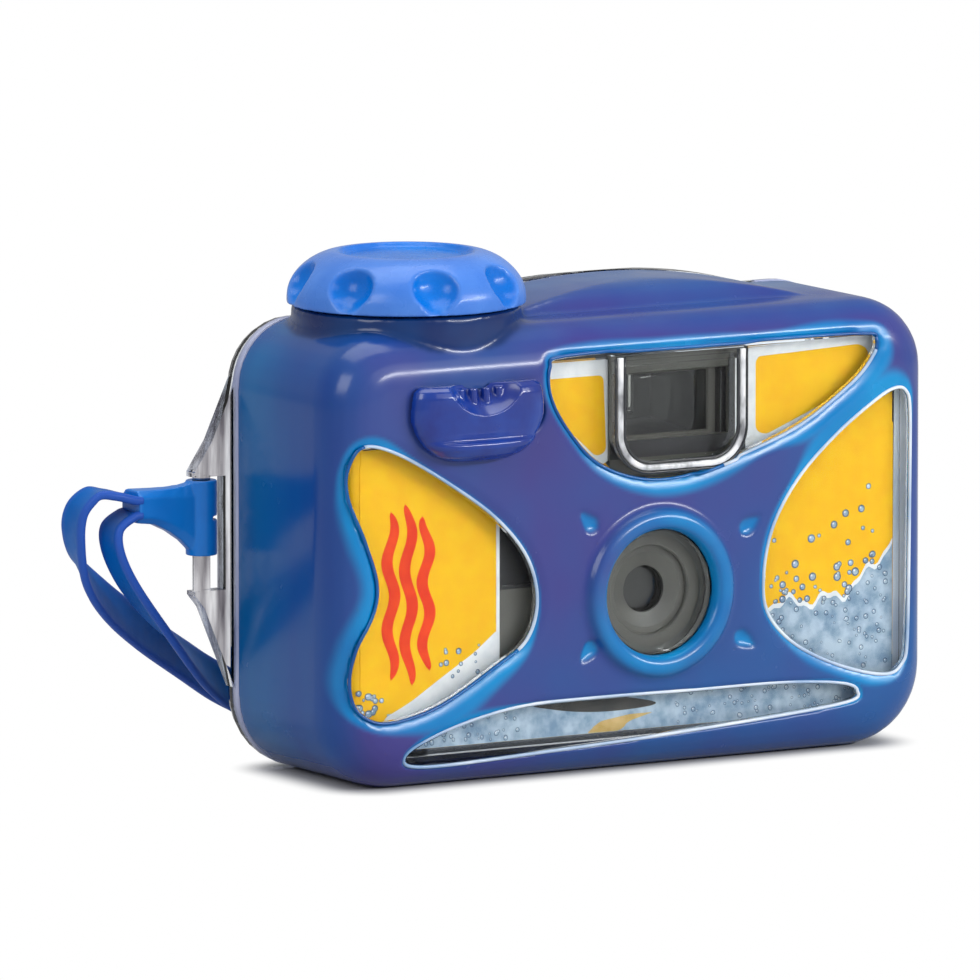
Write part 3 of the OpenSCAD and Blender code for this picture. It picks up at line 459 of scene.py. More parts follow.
# Bead colours: white for a painted highlight, blue for painted light through a thin edge, dark for painted
# refraction lines.
RIM_WHITE = plastic("bead_white", srgb(120, 160, 204), srgb(232, 240, 248), (0.12, 0.22), 900, 0.02)
RIM_BLUE = plastic("bead_blue", srgb(0, 66, 136), srgb(0, 108, 178), (0.12, 0.22), 900, 0.02)
RIM_DARK = plastic("bead_dark", srgb(34, 36, 40), srgb(60, 62, 66), (0.12, 0.22), 900, 0.02)


def finish_with(node, material):
    mesh = NODES[node].data
    mesh.materials.clear()
    mesh.materials.append(material)


# Strap

ROUTE = [
    (-81.9, 15.5, 50.2), (-83.4, 15.5, 50.4), (-86.8, 15.8, 51.3), (-89.7, 16.6, 51.4), (-92, 18, 48.6),
    (-92, 19.4, 44), (-89, 22, 37.4), (-81.4, 26, 30.4), (-70.6, 32, 23.4), (-59.4, 38, 17),
    (-48, 43.4, 10.6), (-37, 47.6, 6.2), (-24, 51, 4), (-10, 53, 3.7), (3, 54, 3.7), (11, 52.4, 3.7),
    (15.5, 48, 3.7), (15.5, 42.6, 3.7), (11, 38, 3.7), (2, 35.6, 3.7), (-12, 34.2, 3.7), (-26, 33.4, 4),
    (-38.6, 32.2, 5.8), (-49.4, 30, 9.6), (-58.2, 27.2, 14.4), (-66.6, 23.6, 20.2), (-74.8, 20, 27),
    (-82, 17, 34.4), (-86, 15.6, 40.8), (-86.4, 15.5, 45.2), (-83.4, 15.5, 47.4), (-81.9, 15.5, 47.6)]
BAND_W = 7.0
BAND_T = 1.6
BEAD_INSET = 0.9
CHANNEL_EDGE = 0.72
CHANNEL_MIDDLE = 0.66
# Points of the path from each end to the start of the band's quarter twist, and over the twist.
TWIST_LEAD = 30
TWIST_RUN = 36
# Where the painted highlight on the band's paler edges starts, from its middle, and how fast it comes in.
PALE_FROM = 2.2
PALE_RUN = 0.9


def band_section(steps=6):
    """The band's outline: round beads at its edges and a shallow channel between them."""
    half = BAND_T / 2
    reach = BAND_W / 2 - half
    right = [(reach + half * math.cos(a), half * math.sin(a))
             for a in (math.pi * (k / steps - 0.5) for k in range(steps + 1))]
    edge = (reach - BEAD_INSET, half * CHANNEL_EDGE)
    channel = [edge, (0, half * CHANNEL_MIDDLE), (-edge[0], edge[1])]
    left = [(-x, -y) for x, y in right]
    return right + channel + left + [(-x, -y) for x, y in channel]


def strap_material():
    s = Shader("strap_blue").set(Specular_IOR_Level=0.15)
    flat = s.tone(70, 4, srgb(0, 82, 162), srgb(4, 102, 188))
    # The paler edges are a painted highlight.
    s.link(s.mix(s.attribute("edge"), flat, srgb(44, 88, 180)), "Base Color")
    s.gloss(400, 3, 0.34, 0.46)
    s.bump(s.noise(1100, 3), 0.04)
    return s.material


def make_strap():
    path = catmull(ROUTE, CURVE_STEPS, False)
    n = len(path)
    section = band_section()
    rings = []
    for i, p in enumerate(path):
        along = path[min(i + 1, n - 1)] - path[max(i - 1, 0)]
        along /= np.linalg.norm(along)
        turn = smooth((i - TWIST_LEAD) / TWIST_RUN) * smooth((n - 1 - i - TWIST_LEAD) / TWIST_RUN)
        across = np.array((0.0, 1 - turn, turn))
        across -= along * across.dot(along)
        across /= np.linalg.norm(across)
        out = np.cross(along, across)
        rings.append([p + across * x + out * y for x, y in section])
    points, faces = sweep(rings)
    band = add_object("strap_loop", mesh_from("strap_loop", points, faces), "strap")
    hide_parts("strap_band")
    painted_edge_sheen = np.array([smooth((abs(x) - PALE_FROM) / PALE_RUN) for x, _ in section])
    store(band.data, "edge", np.tile(painted_edge_sheen, n))
    band.data.materials.append(strap_material())
    tuple(v * MM for v in ROUTE[0])
    [tuple(v * MM for v in p) for p in path]


# Housing

# Where the painted bright band of light round the windows is wider: x, z, reach and added width.
WIDE_BANDS = [
    (-58, 45, 9, 2.4), (-57, 31, 9, 2.6), (-58, 18, 8, 2.0), (-55, 62, 6, 1.5),
    (-44, 12.5, 9, 2.4), (-33, 17.5, 8, 2.2), (-26, 21, 6, 1.2), (-38, 13, 7, 2.2),
    (-10, 76, 14, 1.4), (15, 76.5, 16, 1.2), (40, 76, 10, 1.4),
    (-6, 53.5, 8, 0.9), (6, 51, 10, 2.4), (18, 53, 8, 1.6),
    (36, 59.5, 8, 2.8), (45, 66, 9, 3.2), (52, 70, 7, 1.8),
    (47, 12.8, 8, 1.8), (36, 17, 6, 1.2), (28, 40, 10, 0.7), (0, 3.6, 30, 0.7)]
BAND = 0.6
BAND_CORE = 1.8
BAND_FALL = 1.4
EDGE_PULL = {"kidney": 1.0, "brow": 1.0, "cheek": 1.0, "smile": 2.8}
BEAD_R = 0.32
LIP_DROP = 0.45
LIP_REACH = 2.6
RING_EDGE = 11.4
# The painted bright band of light on the ring: its radius, its width, the angles at which it is strongest,
# and its shares.
RING_GLOW = 13.2
GLOW_WIDTH = 2.2
GLOW_ABOVE = 1.3
GLOW_BELOW = -2.1
GLOW_RIGHT = 0.8
GLOW_LEAST = 0.15
GLOW_MORE = 0.75
DIMPLES = [(-14, 13.1), (18.2, 10.4), (17.2, -9.4), (-14, -9)]
DIMPLE_REACH = 4.4
DIMPLE_DEPTH = 0.35
SKIN_VOXEL = 0.5
SKIN_PASSES = 14
FRONT_LIMIT = -9
FACES_FRONT = -0.4
FAR = 99.0
COLLAR_FOOT = 0.8
COLLAR_DROP = 3.2
# Where the sideways and upward parts of a normal make a vertex count as flank, which gets painted shade and
# reflection, and over what span.
SIDE_FROM = 0.35
SIDE_SPAN = 0.5
TOP_FROM = 0.6
TOP_SPAN = 0.3
TOP_SHARE = 0.8


def window_band(flat):
    """How far each front vertex lies in the painted bright band of light round a window, and its distance to
    that edge.
    """
    gaps = [EDGE_PULL[key] * nearest(flat, catmull(w, CURVE_STEPS, True)) for key, w in WINDOWS.items()]
    gap = np.min(gaps, axis=0)
    width = np.full(len(flat), BAND)
    for x, z, reach, more in WIDE_BANDS:
        width += more * np.exp(-((flat[:, 0] - x) ** 2 + (flat[:, 1] - z) ** 2) / reach ** 2)
    return smooth(BAND_CORE - BAND_FALL * gap / width), gap


def lens_band(flat):
    """How far each front vertex lies in the painted bright bands of light on the lens ring and at its inner
    edge.
    """
    x = flat[:, 0] - LENS[0]
    z = flat[:, 1] - LENS[1]
    from_lens = np.hypot(x, z)
    turn = np.arctan2(z, x)
    above = np.maximum(np.cos(turn - GLOW_ABOVE), 0) ** 2
    below = np.maximum(np.cos(turn - GLOW_BELOW), 0) ** 2
    right = GLOW_RIGHT * np.cos(turn)
    strong = GLOW_LEAST + GLOW_MORE * np.max([above, below, right], axis=0)
    ring = strong * smooth(1.2 - np.abs(from_lens - RING_GLOW) / GLOW_WIDTH)
    inner = smooth(1.1 - np.abs(from_lens - RING_EDGE))
    return np.maximum(ring, inner)


def dimple_mask(place, front):
    """One in the dimples round the lens ring, zero elsewhere; the dimples take the same painted light as the
    bands.
    """
    x = place[:, 0] - LENS[0]
    z = place[:, 2] - LENS[1]
    near = np.min([np.hypot(x - a, z - b) for a, b in DIMPLES], axis=0)
    hollow = front & (near < DIMPLE_REACH) & (place[:, 1] > FRONT_Y + DIMPLE_DEPTH)
    return hollow.astype(float)


def flank_mask(normal):
    """Where painted shade and reflection go: one on the left side of the skin, a little less on its top, and
    zero on its front.
    """
    side = np.clip((-normal[:, 0] - SIDE_FROM) / SIDE_SPAN, 0, 1)
    top = TOP_SHARE * np.clip((normal[:, 2] - TOP_FROM) / TOP_SPAN, 0, 1)
    return np.maximum(side, top)


def collar_mask(place):
    """One on the collar below the knob, where painted shade goes, zero elsewhere."""
    stem = np.hypot(place[:, 0] - KNOB[0], place[:, 1]) < COLLAR_R + COLLAR_FOOT
    return (stem & (place[:, 2] > BODY_TOP - COLLAR_DROP)).astype(float)


def make_skin():
    skin = moulded("front_skin", "housing_skin", "housing", SKIN_VOXEL, SKIN_PASSES)
    mesh = skin.data
    place, normal, edge = vertex_data(mesh)
    flat = place[:, (0, 2)]
    front = place[:, 1] < FRONT_LIMIT
    band = np.zeros(len(place))
    gap = np.full(len(place), FAR)
    band[front], gap[front] = window_band(flat[front])
    band[front] = np.maximum(band[front], lens_band(flat[front]))
    outer = (normal[:, 1] < FACES_FRONT) & front
    place[:, 1] += np.where(outer, LIP_DROP * smooth(1 - gap / LIP_REACH), 0)
    mesh.vertices.foreach_set("co", (place * MM).ravel())
    mesh.update()
    # The rim value is painted light: bright bands round the windows and on the lens ring, and the same colour
    # in the dimples.
    store(mesh, "rim", np.maximum(band, spread(dimple_mask(place, front), edge, 3)))
    store(mesh, "flank", spread(flank_mask(normal), edge, 6))
    store(mesh, "collar", spread(collar_mask(place), edge, 3))
    mesh.materials.append(skin_material())


# Which stretch of each window's edge gets a painted highlight where it catches the light, as shares of its
# outline.
PALE_EDGE = {"kidney": (0.0, 0.36), "brow": (0.33, 0.6), "cheek": (0.0, 1.0), "smile": (0.0, 1.0)}
# The shell's depth at an edge is felt for by a ray from the front, a little inside the window.
PROBE_IN = 0.5
PROBE_FROM = -60
EDGE_DEPTH = 0.5
EDGE_DEEPEST = 3
BEAD_OUT = 0.22


def shell_tree():
    """The faces of the front shell, ready for rays."""
    shell = NODES["front_shell"]
    place = [shell.matrix_world @ v.co for v in shell.data.vertices]
    return BVHTree.FromPolygons(place, [tuple(f.vertices) for f in shell.data.polygons])


def window_edge(outline, tree):
    """A path just outside a window's outline, at the depth of the shell there."""
    line = catmull(outline, CURVE_STEPS, True)
    path = []
    for i, q in enumerate(line):
        along = line[(i + 1) % len(line)] - line[i - 1]
        inward = np.array((along[1], -along[0])) / np.linalg.norm(along)
        probe = q + PROBE_IN * inward
        hit = tree.ray_cast(Vector((probe[0], PROBE_FROM, probe[1])) * MM, Vector((0, 1, 0)))[0]
        depth = hit.y / MM if hit else FRONT_Y + EDGE_DEPTH
        x, z = q - BEAD_OUT * inward
        path.append(np.array((x, min(depth, FRONT_Y + EDGE_DEEPEST), z)))
    return path


def make_beads():
    """Beads on the edge of the clear shell round each window: white, a painted highlight, where it catches
    the light, and blue, painted light through the skin's thin edge, elsewhere.
    """
    tree = shell_tree()
    for name, outline in WINDOWS.items():
        path = window_edge(outline, tree)
        first, last = (int(share * len(path)) for share in PALE_EDGE[name])
        if last - first == len(path):
            bead("window_bead_" + name, path, BEAD_R, RIM_WHITE, "clear")
            continue
        pale = path[first:last + 1]
        blue = path[last:] + path[:first + 1]
        bead("window_bead_" + name, pale, BEAD_R, RIM_WHITE, "clear", closed=False)
        bead("window_lip_" + name, blue, BEAD_R, RIM_BLUE, "blue_skin", closed=False)


# The raised rim round the finder.
FINDER_HALF = 14.3
FINDER_CORNER = 8
FINDER_LOW = 52.8
FINDER_TOP = 74.4
FINDER_STEP = 2.4
FINDER_RIM_Y = FRONT_Y - 0.7


def finder_line(inset):
    """The open U round the finder, set in from its outer edge."""
    half = FINDER_HALF - inset
    radius = FINDER_CORNER - inset
    bottom = FINDER_LOW + inset
    rungs = int((FINDER_TOP - bottom - radius) / FINDER_STEP) + 1
    right = [(half, FINDER_TOP - FINDER_STEP * k) for k in range(rungs)]
    for a in quarter_turn():
        right.append((half - radius + radius * math.cos(a), bottom + radius - radius * math.sin(a)))
    line = right + [(-x, z) for x, z in right[::-1]]
    return [np.array((FINDER[0] + x, FINDER_RIM_Y, z)) for x, z in line]


def painted_glint_material():
    """The bright, streaked crest of the finder's clear rim, a painted reflection."""
    s = Shader("rim_painted_glint").set(IOR=1.5)
    s.link(s.ramp(s.noise(260, 3, (1, 1, 0.5)), (0.36, srgb(120, 122, 126)), (0.5, srgb(226, 228, 232)),
                  (0.62, srgb(250, 250, 250))), "Base Color")
    s.gloss(300, 3, 0.08, 0.18)
    s.bump(s.noise(200, 2), 0.05, 0.2)
    return s.material


def make_finder_rim():
    """Painted refraction lines on the finder's clear rim: a bright crest between two dark lines, each with
    its inset and radius.
    """
    lines = (
        ("crest", 1.6, 0.6, painted_glint_material()),
        ("outer", 0.7, 0.26, RIM_DARK),
        ("inner", 2.5, 0.3, RIM_DARK))
    for name, inset, radius, material in lines:
        bead("finder_rim_" + name, finder_line(inset), radius, material, "clear", closed=False)


# The gasket's pressed-out edge: how far it stands proud, its depths, and how its inner edge is set in.
GASKET_PROUD = 0.06
GASKET_FRONT = 13.2
GASKET_BACK = 15.0
GASKET_SHRINK = 0.99
GASKET_LIFT = 0.4


def gasket_lip(name, side, top_r, low_r, top_x, low_x, material):
    """The gasket's pressed-out edge along one side of the seam."""
    half = BODY_HALF + GASKET_PROUD
    top = BODY_TOP + GASKET_PROUD
    line = [(top_x, top)]
    for a in quarter_turn():
        line.append((half - top_r + top_r * math.sin(a), top - top_r + top_r * math.cos(a)))
    for a in quarter_turn():
        line.append((half - low_r + low_r * math.cos(a), GASKET_PROUD + low_r - low_r * math.sin(a)))
    line.append((low_x, GASKET_PROUD))
    rings = []
    for x, z in line:
        outer = (side * x, z)
        inner = (side * x * GASKET_SHRINK, GASKET_LIFT + z * GASKET_SHRINK)
        rings.append([(outer[0], GASKET_FRONT, outer[1]), (outer[0], GASKET_BACK, outer[1]),
                      (inner[0], GASKET_BACK, inner[1]), (inner[0], GASKET_FRONT, inner[1])])
    add_piece(name, *sweep(rings), material, "gasket")


def make_gasket_lips():
    lilac = plastic("gasket_edge", srgb(140, 148, 184), srgb(184, 190, 216), (0.25, 0.4))
    gasket_lip("gasket_lip_left", side=-1, top_r=12, low_r=14, top_x=49.6, low_x=46, material=lilac)
    gasket_lip("gasket_lip_right", side=1, top_r=12.5, low_r=14.5, top_x=46, low_x=46, material=lilac)


# The knob's dome, without its flutes: the height of its skirt, the radius of its crown and how it rounds.
KNOB_SKIRT = 1.2
KNOB_CROWN = KNOB_R * 0.6
DOME_POWER = 1.25
# How far inside the full dome a vertex counts as flute, how far the flutes reach inside the crown, and how
# high above the knob's foot they start.
FLUTE_FROM = 0.25
FLUTE_RUN = 0.7
FLUTE_INSET = 1
FLUTE_FOOT = 0.3
# How far inside the crown a vertex that faces up counts as dish.
DISH_FROM = 0.4
DISH_RUN = 1.2
FACES_UP = 0.3
# The dark parting line across the strap's connector: its start, middle and end in height, in metres.
PARTING = (0.0452, 0.0458, 0.0464)


def flute_mask(place, normal):
    """One in the knob's flutes and in its dish, zero on the ridges, which take a lighter tone as a painted
    highlight.
    """
    radius = np.hypot(place[:, 0] - KNOB[0], place[:, 1])
    rise = np.clip((place[:, 2] - KNOB[1] - KNOB_SKIRT) / (KNOB_H - KNOB_SKIRT), 0, 1)
    full = KNOB_CROWN + (KNOB_R - KNOB_CROWN) * np.sqrt(1 - rise ** 2) ** DOME_POWER
    cut = smooth((full - radius - FLUTE_FROM) / FLUTE_RUN)
    cut *= (radius > KNOB_CROWN - FLUTE_INSET) & (place[:, 2] > KNOB[1] + FLUTE_FOOT)
    dish = smooth((KNOB_CROWN - DISH_FROM - radius) / DISH_RUN) * (normal[:, 2] > FACES_UP)
    return np.maximum(cut, dish)


def make_knob():
    knob = moulded("wind_knob", "winding_knob", "winder", voxel=0.35, passes=6)
    mesh = knob.data
    place, normal, edge = vertex_data(mesh)
    store(mesh, "flute", spread(flute_mask(place, normal), edge, 2))
    s = Shader("knob_blue").set(IOR=1.5, Specular_IOR_Level=0.28, Coat_Weight=0.06, Coat_Roughness=0.12)
    # The ridges' lighter tone is a painted highlight.
    painted_ridge_sheen = s.tone(80, 3, srgb(60, 116, 206), srgb(88, 140, 222))
    hollow = s.tone(90, 3, srgb(0, 100, 196), srgb(0, 118, 214))
    s.link(s.mix(s.attribute("flute"), painted_ridge_sheen, hollow), "Base Color")
    s.gloss(240, 3, 0.2, 0.32)
    s.bump(s.noise(120, 2), 0.05, 0.2)
    mesh.materials.append(s.material)


def make_lever():
    lever = moulded("shutter_lever", "finger_lever", "lever", voxel=0.2, passes=4)
    s = Shader("lever_blue").set(IOR=1.5, Specular_IOR_Level=0.5, Coat_Weight=0.3, Coat_Roughness=0.08)
    s.link(s.tone(120, 3, srgb(10, 34, 122), srgb(10, 60, 152)), "Base Color")
    s.gloss(300, 3, 0.16, 0.28)
    s.bump(s.noise(150, 2), 0.05, 0.2)
    lever.data.materials.append(s.material)


def make_connector():
    tee = moulded("strap_connector", "strap_tee", "strap", voxel=0.22, passes=5)
    s = Shader("tee_blue").set(Specular_IOR_Level=0.4, Coat_Weight=0.1, Coat_Roughness=0.2)
    plain = s.tone(60, 4, srgb(0, 102, 190), srgb(4, 122, 212))
    split = s.ramp(s.axis("Z"), *zip(PARTING, ((0, 0, 0), (1, 1, 1), (0, 0, 0))))
    s.link(s.mix(split, plain, srgb(2, 40, 110)), "Base Color")
    s.gloss(220, 4, 0.3, 0.42)
    s.bump(s.noise(900, 2), 0.03)
    tee.data.materials.append(s.material)


# Printed label

# Depths of the prints in front of the label: no two that overlap share one.
WATER_Y = LABEL_Y - 0.015
BORDER_Y = LABEL_Y - 0.03
SAND_Y = LABEL_Y - 0.045
INK_Y = LABEL_Y - 0.05
PANEL_Y = LABEL_Y - 0.06
BUBBLE_Y = LABEL_Y - 0.07
SHELL_EDGE_Y = LABEL_Y - 0.1
PRINT_T = 0.02


def flat_print(name, outline, y, material):
    """A thin printed patch in the plane of the label."""
    n = len(outline)
    points = [(x, y, z) for x, z in outline] + [(x, y + PRINT_T, z) for x, z in outline]
    faces = [tuple(range(n)), tuple(range(n, 2 * n))[::-1]]
    faces += [(i, i + n, (i + 1) % n + n, (i + 1) % n) for i in range(n)]
    mesh = mesh_from(name, points, faces)
    tidy = bmesh.new()
    tidy.from_mesh(mesh)
    bmesh.ops.recalc_face_normals(tidy, faces=tidy.faces)
    bmesh.ops.triangulate(tidy, faces=[f for f in tidy.faces if len(f.verts) > 4])
    tidy.to_mesh(mesh)
    tidy.free()
    mesh.materials.append(material)
    piece = add_object(name, mesh, "housing", smooth_faces=False)


# Layers of a printed bubble: size, shift to the left and shift upwards, as shares of its radius, and height.
BUBBLE_LAYERS = ((1.0, 0.0, 0.0, 0.0), (0.7, 0.0, 0.0, 0.012), (0.26, 0.28, 0.3, 0.024))
BUBBLE_SIDES = 18

# The printed water on the right of the label.
WATER_LEFT = CARD_RIGHT + 0.2
WATER_RIGHT = 55.1
WATER_LOW = 12
WATER_LINE = 27.2
WATER_RISE = 10
WATER_STEPS = 48
FOAM_ABOVE = 0.55
FOAM_BELOW = 0.35

# The three upright ribbons: the middle of each with half its height, and the sizes that they share.
RIBBONS = ((-49.2, 15.0), (-45.6, 16.2), (-42.0, 13.8))
RIBBON_Z = 34.6
RIBBON_SWAY = 0.8
RIBBON_HALF = 1.15
RIBBON_TIP = 0.02
RIBBON_STEPS = 40


def rounded(corners, radius, steps=6):
    """A closed outline through the corners, each one rounded."""
    out = []
    n = len(corners)
    for i in range(n):
        p = np.array(corners[i], float)
        before = np.array(corners[i - 1], float) - p
        after = np.array(corners[(i + 1) % n], float) - p
        cut = min(radius, np.linalg.norm(before) / 2, np.linalg.norm(after) / 2)
        a = p + before / np.linalg.norm(before) * cut
        b = p + after / np.linalg.norm(after) * cut
        for k in range(steps + 1):
            t = k / steps
            out.append((1 - t) ** 2 * a + 2 * t * (1 - t) * p + t * t * b)
    return [tuple(q) for q in out]


def bubbles(name, spots, inks):
    """Flat printed bubbles: a dark ring, a pale inside and a small bright glint."""
    points = []
    faces = []
    owner = []
    for layer, (size, left, up, lift) in enumerate(BUBBLE_LAYERS):
        for x, z, r in spots:
            start = len(points)
            for a in full_turn(BUBBLE_SIDES):
                points.append((x - r * left + r * size * math.cos(a), BUBBLE_Y - lift,
                               z + r * up + r * size * math.sin(a)))
            faces.append(tuple(range(start, start + BUBBLE_SIDES)))
            owner.append(layer)
    mesh = mesh_from(name, points, faces)
    for material in inks:
        mesh.materials.append(material)
    for face, layer in zip(mesh.polygons, owner):
        face.material_index = layer
    piece = add_object(name, mesh, "housing", smooth_faces=False)


def wave_line(x0, x1, height, steps):
    return [(x0 + (x1 - x0) * k / steps, height(x0 + (x1 - x0) * k / steps)) for k in range(steps + 1)]


def swell(x):
    """Height of the printed water on the right of the label."""
    rise = min(max((x - 40) / 15, 0), 1)
    return WATER_LINE + WATER_RISE * rise ** 2 + 1.0 * math.sin(x * 0.8) + 0.5 * math.sin(x * 1.9 + 1)


def make_panels(yellow, white):
    left = [(-18.6, 73.7), (-4.2, 73.7), (-4.2, 55.5), (-8, 54.2), (-14.5, 60.3), (-18.6, 66)]
    flat_print("print_left_border", rounded(left, 1.2), BORDER_Y, white)
    inner = [(-18.2, 70.9), (-5.5, 70.9), (-4.9, 57.2), (-7, 56.4), (-13.6, 62.4), (-18.2, 68)]
    flat_print("print_left_panel", rounded(inner, 1.2), PANEL_Y, yellow)
    right = [(23.6, 73.7), (51, 74.2), (54, 72), (50.4, 64.4), (42.2, 59.6), (28.6, 54), (23.6, 54)]
    flat_print("print_right_border", rounded(right, 1.4), BORDER_Y, white)
    inner = [(26.2, 71.9), (48.2, 72.8), (50.2, 71.2), (47.7, 66.6), (40.8, 62.8), (28.2, 57.9), (26.2, 58.8)]
    flat_print("print_right_panel", rounded(inner, 1.2), PANEL_Y, yellow)
    edge = [(CARD_LEFT - 0.7, 18), (CARD_LEFT, 18), (CARD_LEFT, 48), (CARD_LEFT - 0.7, 48)]
    flat_print("print_cut_edge", edge, BORDER_Y, white)
    foam = [(CARD_LEFT, 27.4), (-32, 23.4), (-38.8, 19.4), (-45, 15.6), (-51, 12.8), (-51, 9), (-30, 17),
            (CARD_LEFT, 22)]
    flat_print("print_kidney_foam", rounded(foam, 1.5), INK_Y, white)


def make_ribbons():
    """Three upright wavy ribbons on the left of the label."""
    red = ink("red_ink", srgb(228, 46, 6), srgb(244, 70, 14))
    for index, (x, tall) in enumerate(RIBBONS):
        side = []
        for k in range(RIBBON_STEPS + 1):
            t = k / RIBBON_STEPS
            z = RIBBON_Z + tall * (2 * t - 1)
            sway = RIBBON_SWAY * math.sin(5 * math.pi * t + index)
            half = RIBBON_HALF * math.sqrt(max(1 - (2 * t - 1) ** 4, 0)) + RIBBON_TIP
            side.append((x + sway, z, half))
        outline = [(a + h, z) for a, z, h in side] + [(a - h, z) for a, z, h in side[::-1]]
        flat_print("print_ribbon_%d" % index, outline, INK_Y, red)


def make_shell_edge():
    """A pale sheet beside the right end of the label, painted light standing for the lit edge of the clear
    shell.
    """
    painted_light_sheet = plastic("shell_edge", srgb(186, 200, 216), srgb(236, 242, 246), (0.15, 0.25), 400, 0.02)
    edge = [(55.1, 13.6), (57.6, 16), (58.7, 24), (58.8, 58), (58.4, 63), (55.3, 65)]
    flat_print("shell_edge_right", edge, SHELL_EDGE_Y, painted_light_sheet)


def make_water(pale, white):
    """Printed water with its foam line in the right window, and a strip of it in the low window."""
    sand = ink("sand_ink", srgb(200, 164, 92), srgb(222, 190, 128))
    shade = ink("shade_ink", srgb(58, 58, 58), srgb(78, 76, 72))
    crest = wave_line(WATER_LEFT, WATER_RIGHT, swell, WATER_STEPS)
    water = crest + [(WATER_RIGHT, WATER_LOW), (WATER_LEFT, WATER_LOW)]
    flat_print("print_cheek_water", water, WATER_Y, pale)
    foam = [(x, z + FOAM_ABOVE) for x, z in crest] + [(x, z - FOAM_BELOW) for x, z in crest][::-1]
    flat_print("print_cheek_foam", foam, INK_Y, white)
    strip = [(-50, 7.05), (-50, 13.7), (50, 13.7), (50, 7.05)]
    flat_print("print_smile_water", strip, BORDER_Y, pale)
    patch = [(-9, 7.1), (-6, 9), (0, 9.8), (5, 9.8), (0, 8.6), (-2, 7.1)]
    flat_print("print_smile_sand", rounded(patch, 0.8), SAND_Y, sand)
    # A dark grey patch just under the top of the low window: painted shade.
    patch = [(-22, 13), (-15, 13.9), (-4, 13.6), (8, 11.2), (-2, 10.5), (-11, 10.9)]
    flat_print("print_smile_shade", rounded(patch, 5), PANEL_Y, shade)


def scatter(seed, count, xs, zs, sizes):
    """Random spots between two values of x, of z and of the radius."""
    return [(seed.uniform(*xs), seed.uniform(*zs), seed.uniform(*sizes)) for _ in range(count)]


def make_bubbles(inks):
    """Bubbles above and in the water, in the left window's corner and along the low window."""
    seed = random.Random(7)
    spots = []
    for _ in range(46):
        x = seed.uniform(29, 54)
        spots.append((x, swell(x) + 0.8 + 15 * seed.random() ** 2, seed.uniform(0.3, 0.8)))
    for _ in range(110):
        x = seed.uniform(28, 54)
        spots.append((x, seed.uniform(12, max(13, swell(x) - 0.6)), seed.uniform(0.2, 0.55)))
    bubbles("print_cheek_bubbles", spots, inks)
    spots = scatter(seed, 14, (-56, -51), (14, 18.5), (0.3, 0.75))
    spots += scatter(seed, 12, (-39, -31), (18.5, 25), (0.25, 0.6))
    bubbles("print_kidney_bubbles", spots, inks)
    spots = scatter(seed, 190, (-44, 46), (7.6, 13.2), (0.18, 0.5))
    spots = [q for q in spots if not -22 < q[0] < 9]
    bubbles("print_smile_bubbles", spots, inks)


def make_label():
    yellow = ink("yellow_card", srgb(252, 186, 0), srgb(255, 198, 8))
    white = ink("white_ink", srgb(236, 238, 238), srgb(250, 250, 248))
    pale = ink("pale_ink", srgb(128, 156, 182), srgb(190, 208, 220))
    slate = ink("slate_ink", srgb(62, 82, 110), srgb(104, 124, 148))
    finish_with("label_card", yellow)
    make_panels(yellow, white)
    make_ribbons()
    label_wrap(yellow)
    make_shell_edge()
    make_water(pale, white)
    make_bubbles((slate, pale, white))


def label_wrap(material):
    """A strip that bends back from the label's left edge along the shell's inner rounding."""
    middle = (-53.5, -13.5)
    radius = 4.75
    start_x = -54.6
    end = (-58.25, -8.0)
    thick = 0.1
    low = 14.5
    high = 66
    rows = 28
    line = [(start_x, LABEL_Y)]
    for a in quarter_turn()[::-1]:
        line.append((middle[0] - radius * math.cos(a), middle[1] - radius * math.sin(a)))
    line = [q for q in line if q[1] >= LABEL_Y and q[0] <= start_x] + [end]
    rings = []
    for z in np.linspace(low, high, rows):
        rings.append([(x, y, z) for x, y in line] + [(x + thick, y + thick, z) for x, y in line[::-1]])
    add_piece("label_wrap_left", *sweep(rings), material, "label")


# What shows of the inner camera behind the clear windows

MASK_FRONT = -18.2
MASK_BACK = -17.2
FINDER_MASK_FRONT = -18.1
SILL_Y = -18.02
STEP_FRONT = -15.9
STEP_BACK = -15.4
RECESS_Y = -17.3


def ring_plate(name, inner, outer, y0, y1, material, sides=72):
    """A flat ring round the lens axis with a small bevel on its front edges."""
    bevel = 0.25
    profile = [(inner, y1), (inner, y0 + bevel), (inner + bevel, y0), (outer - bevel, y0),
               (outer, y0 + bevel), (outer, y1)]
    rings = []
    for a in full_turn(sides):
        rings.append([(LENS[0] + r * math.cos(a), y, LENS[1] + r * math.sin(a)) for r, y in profile])
    add_piece(name, *sweep(rings, True), material, "grey", smooth_faces=False)


def frame_plate(name, x, z, width, height, border, y0, y1, material):
    """A rectangular frame, its opening chamfered towards the front."""
    chamfer = 0.4
    inner_w = width - 2 * border
    inner_h = height - 2 * border
    steps = [(width, height, y1), (width, height, y0), (inner_w + chamfer, inner_h + chamfer, y0),
             (inner_w, inner_h, y0 + chamfer), (inner_w, inner_h, y1)]
    rings = []
    for w, h, y in steps:
        rings.append([(x - w / 2, y, z - h / 2), (x + w / 2, y, z - h / 2), (x + w / 2, y, z + h / 2),
                      (x - w / 2, y, z + h / 2)])
    add_piece(name, *sweep(rings, True), material, "grey", smooth_faces=False)


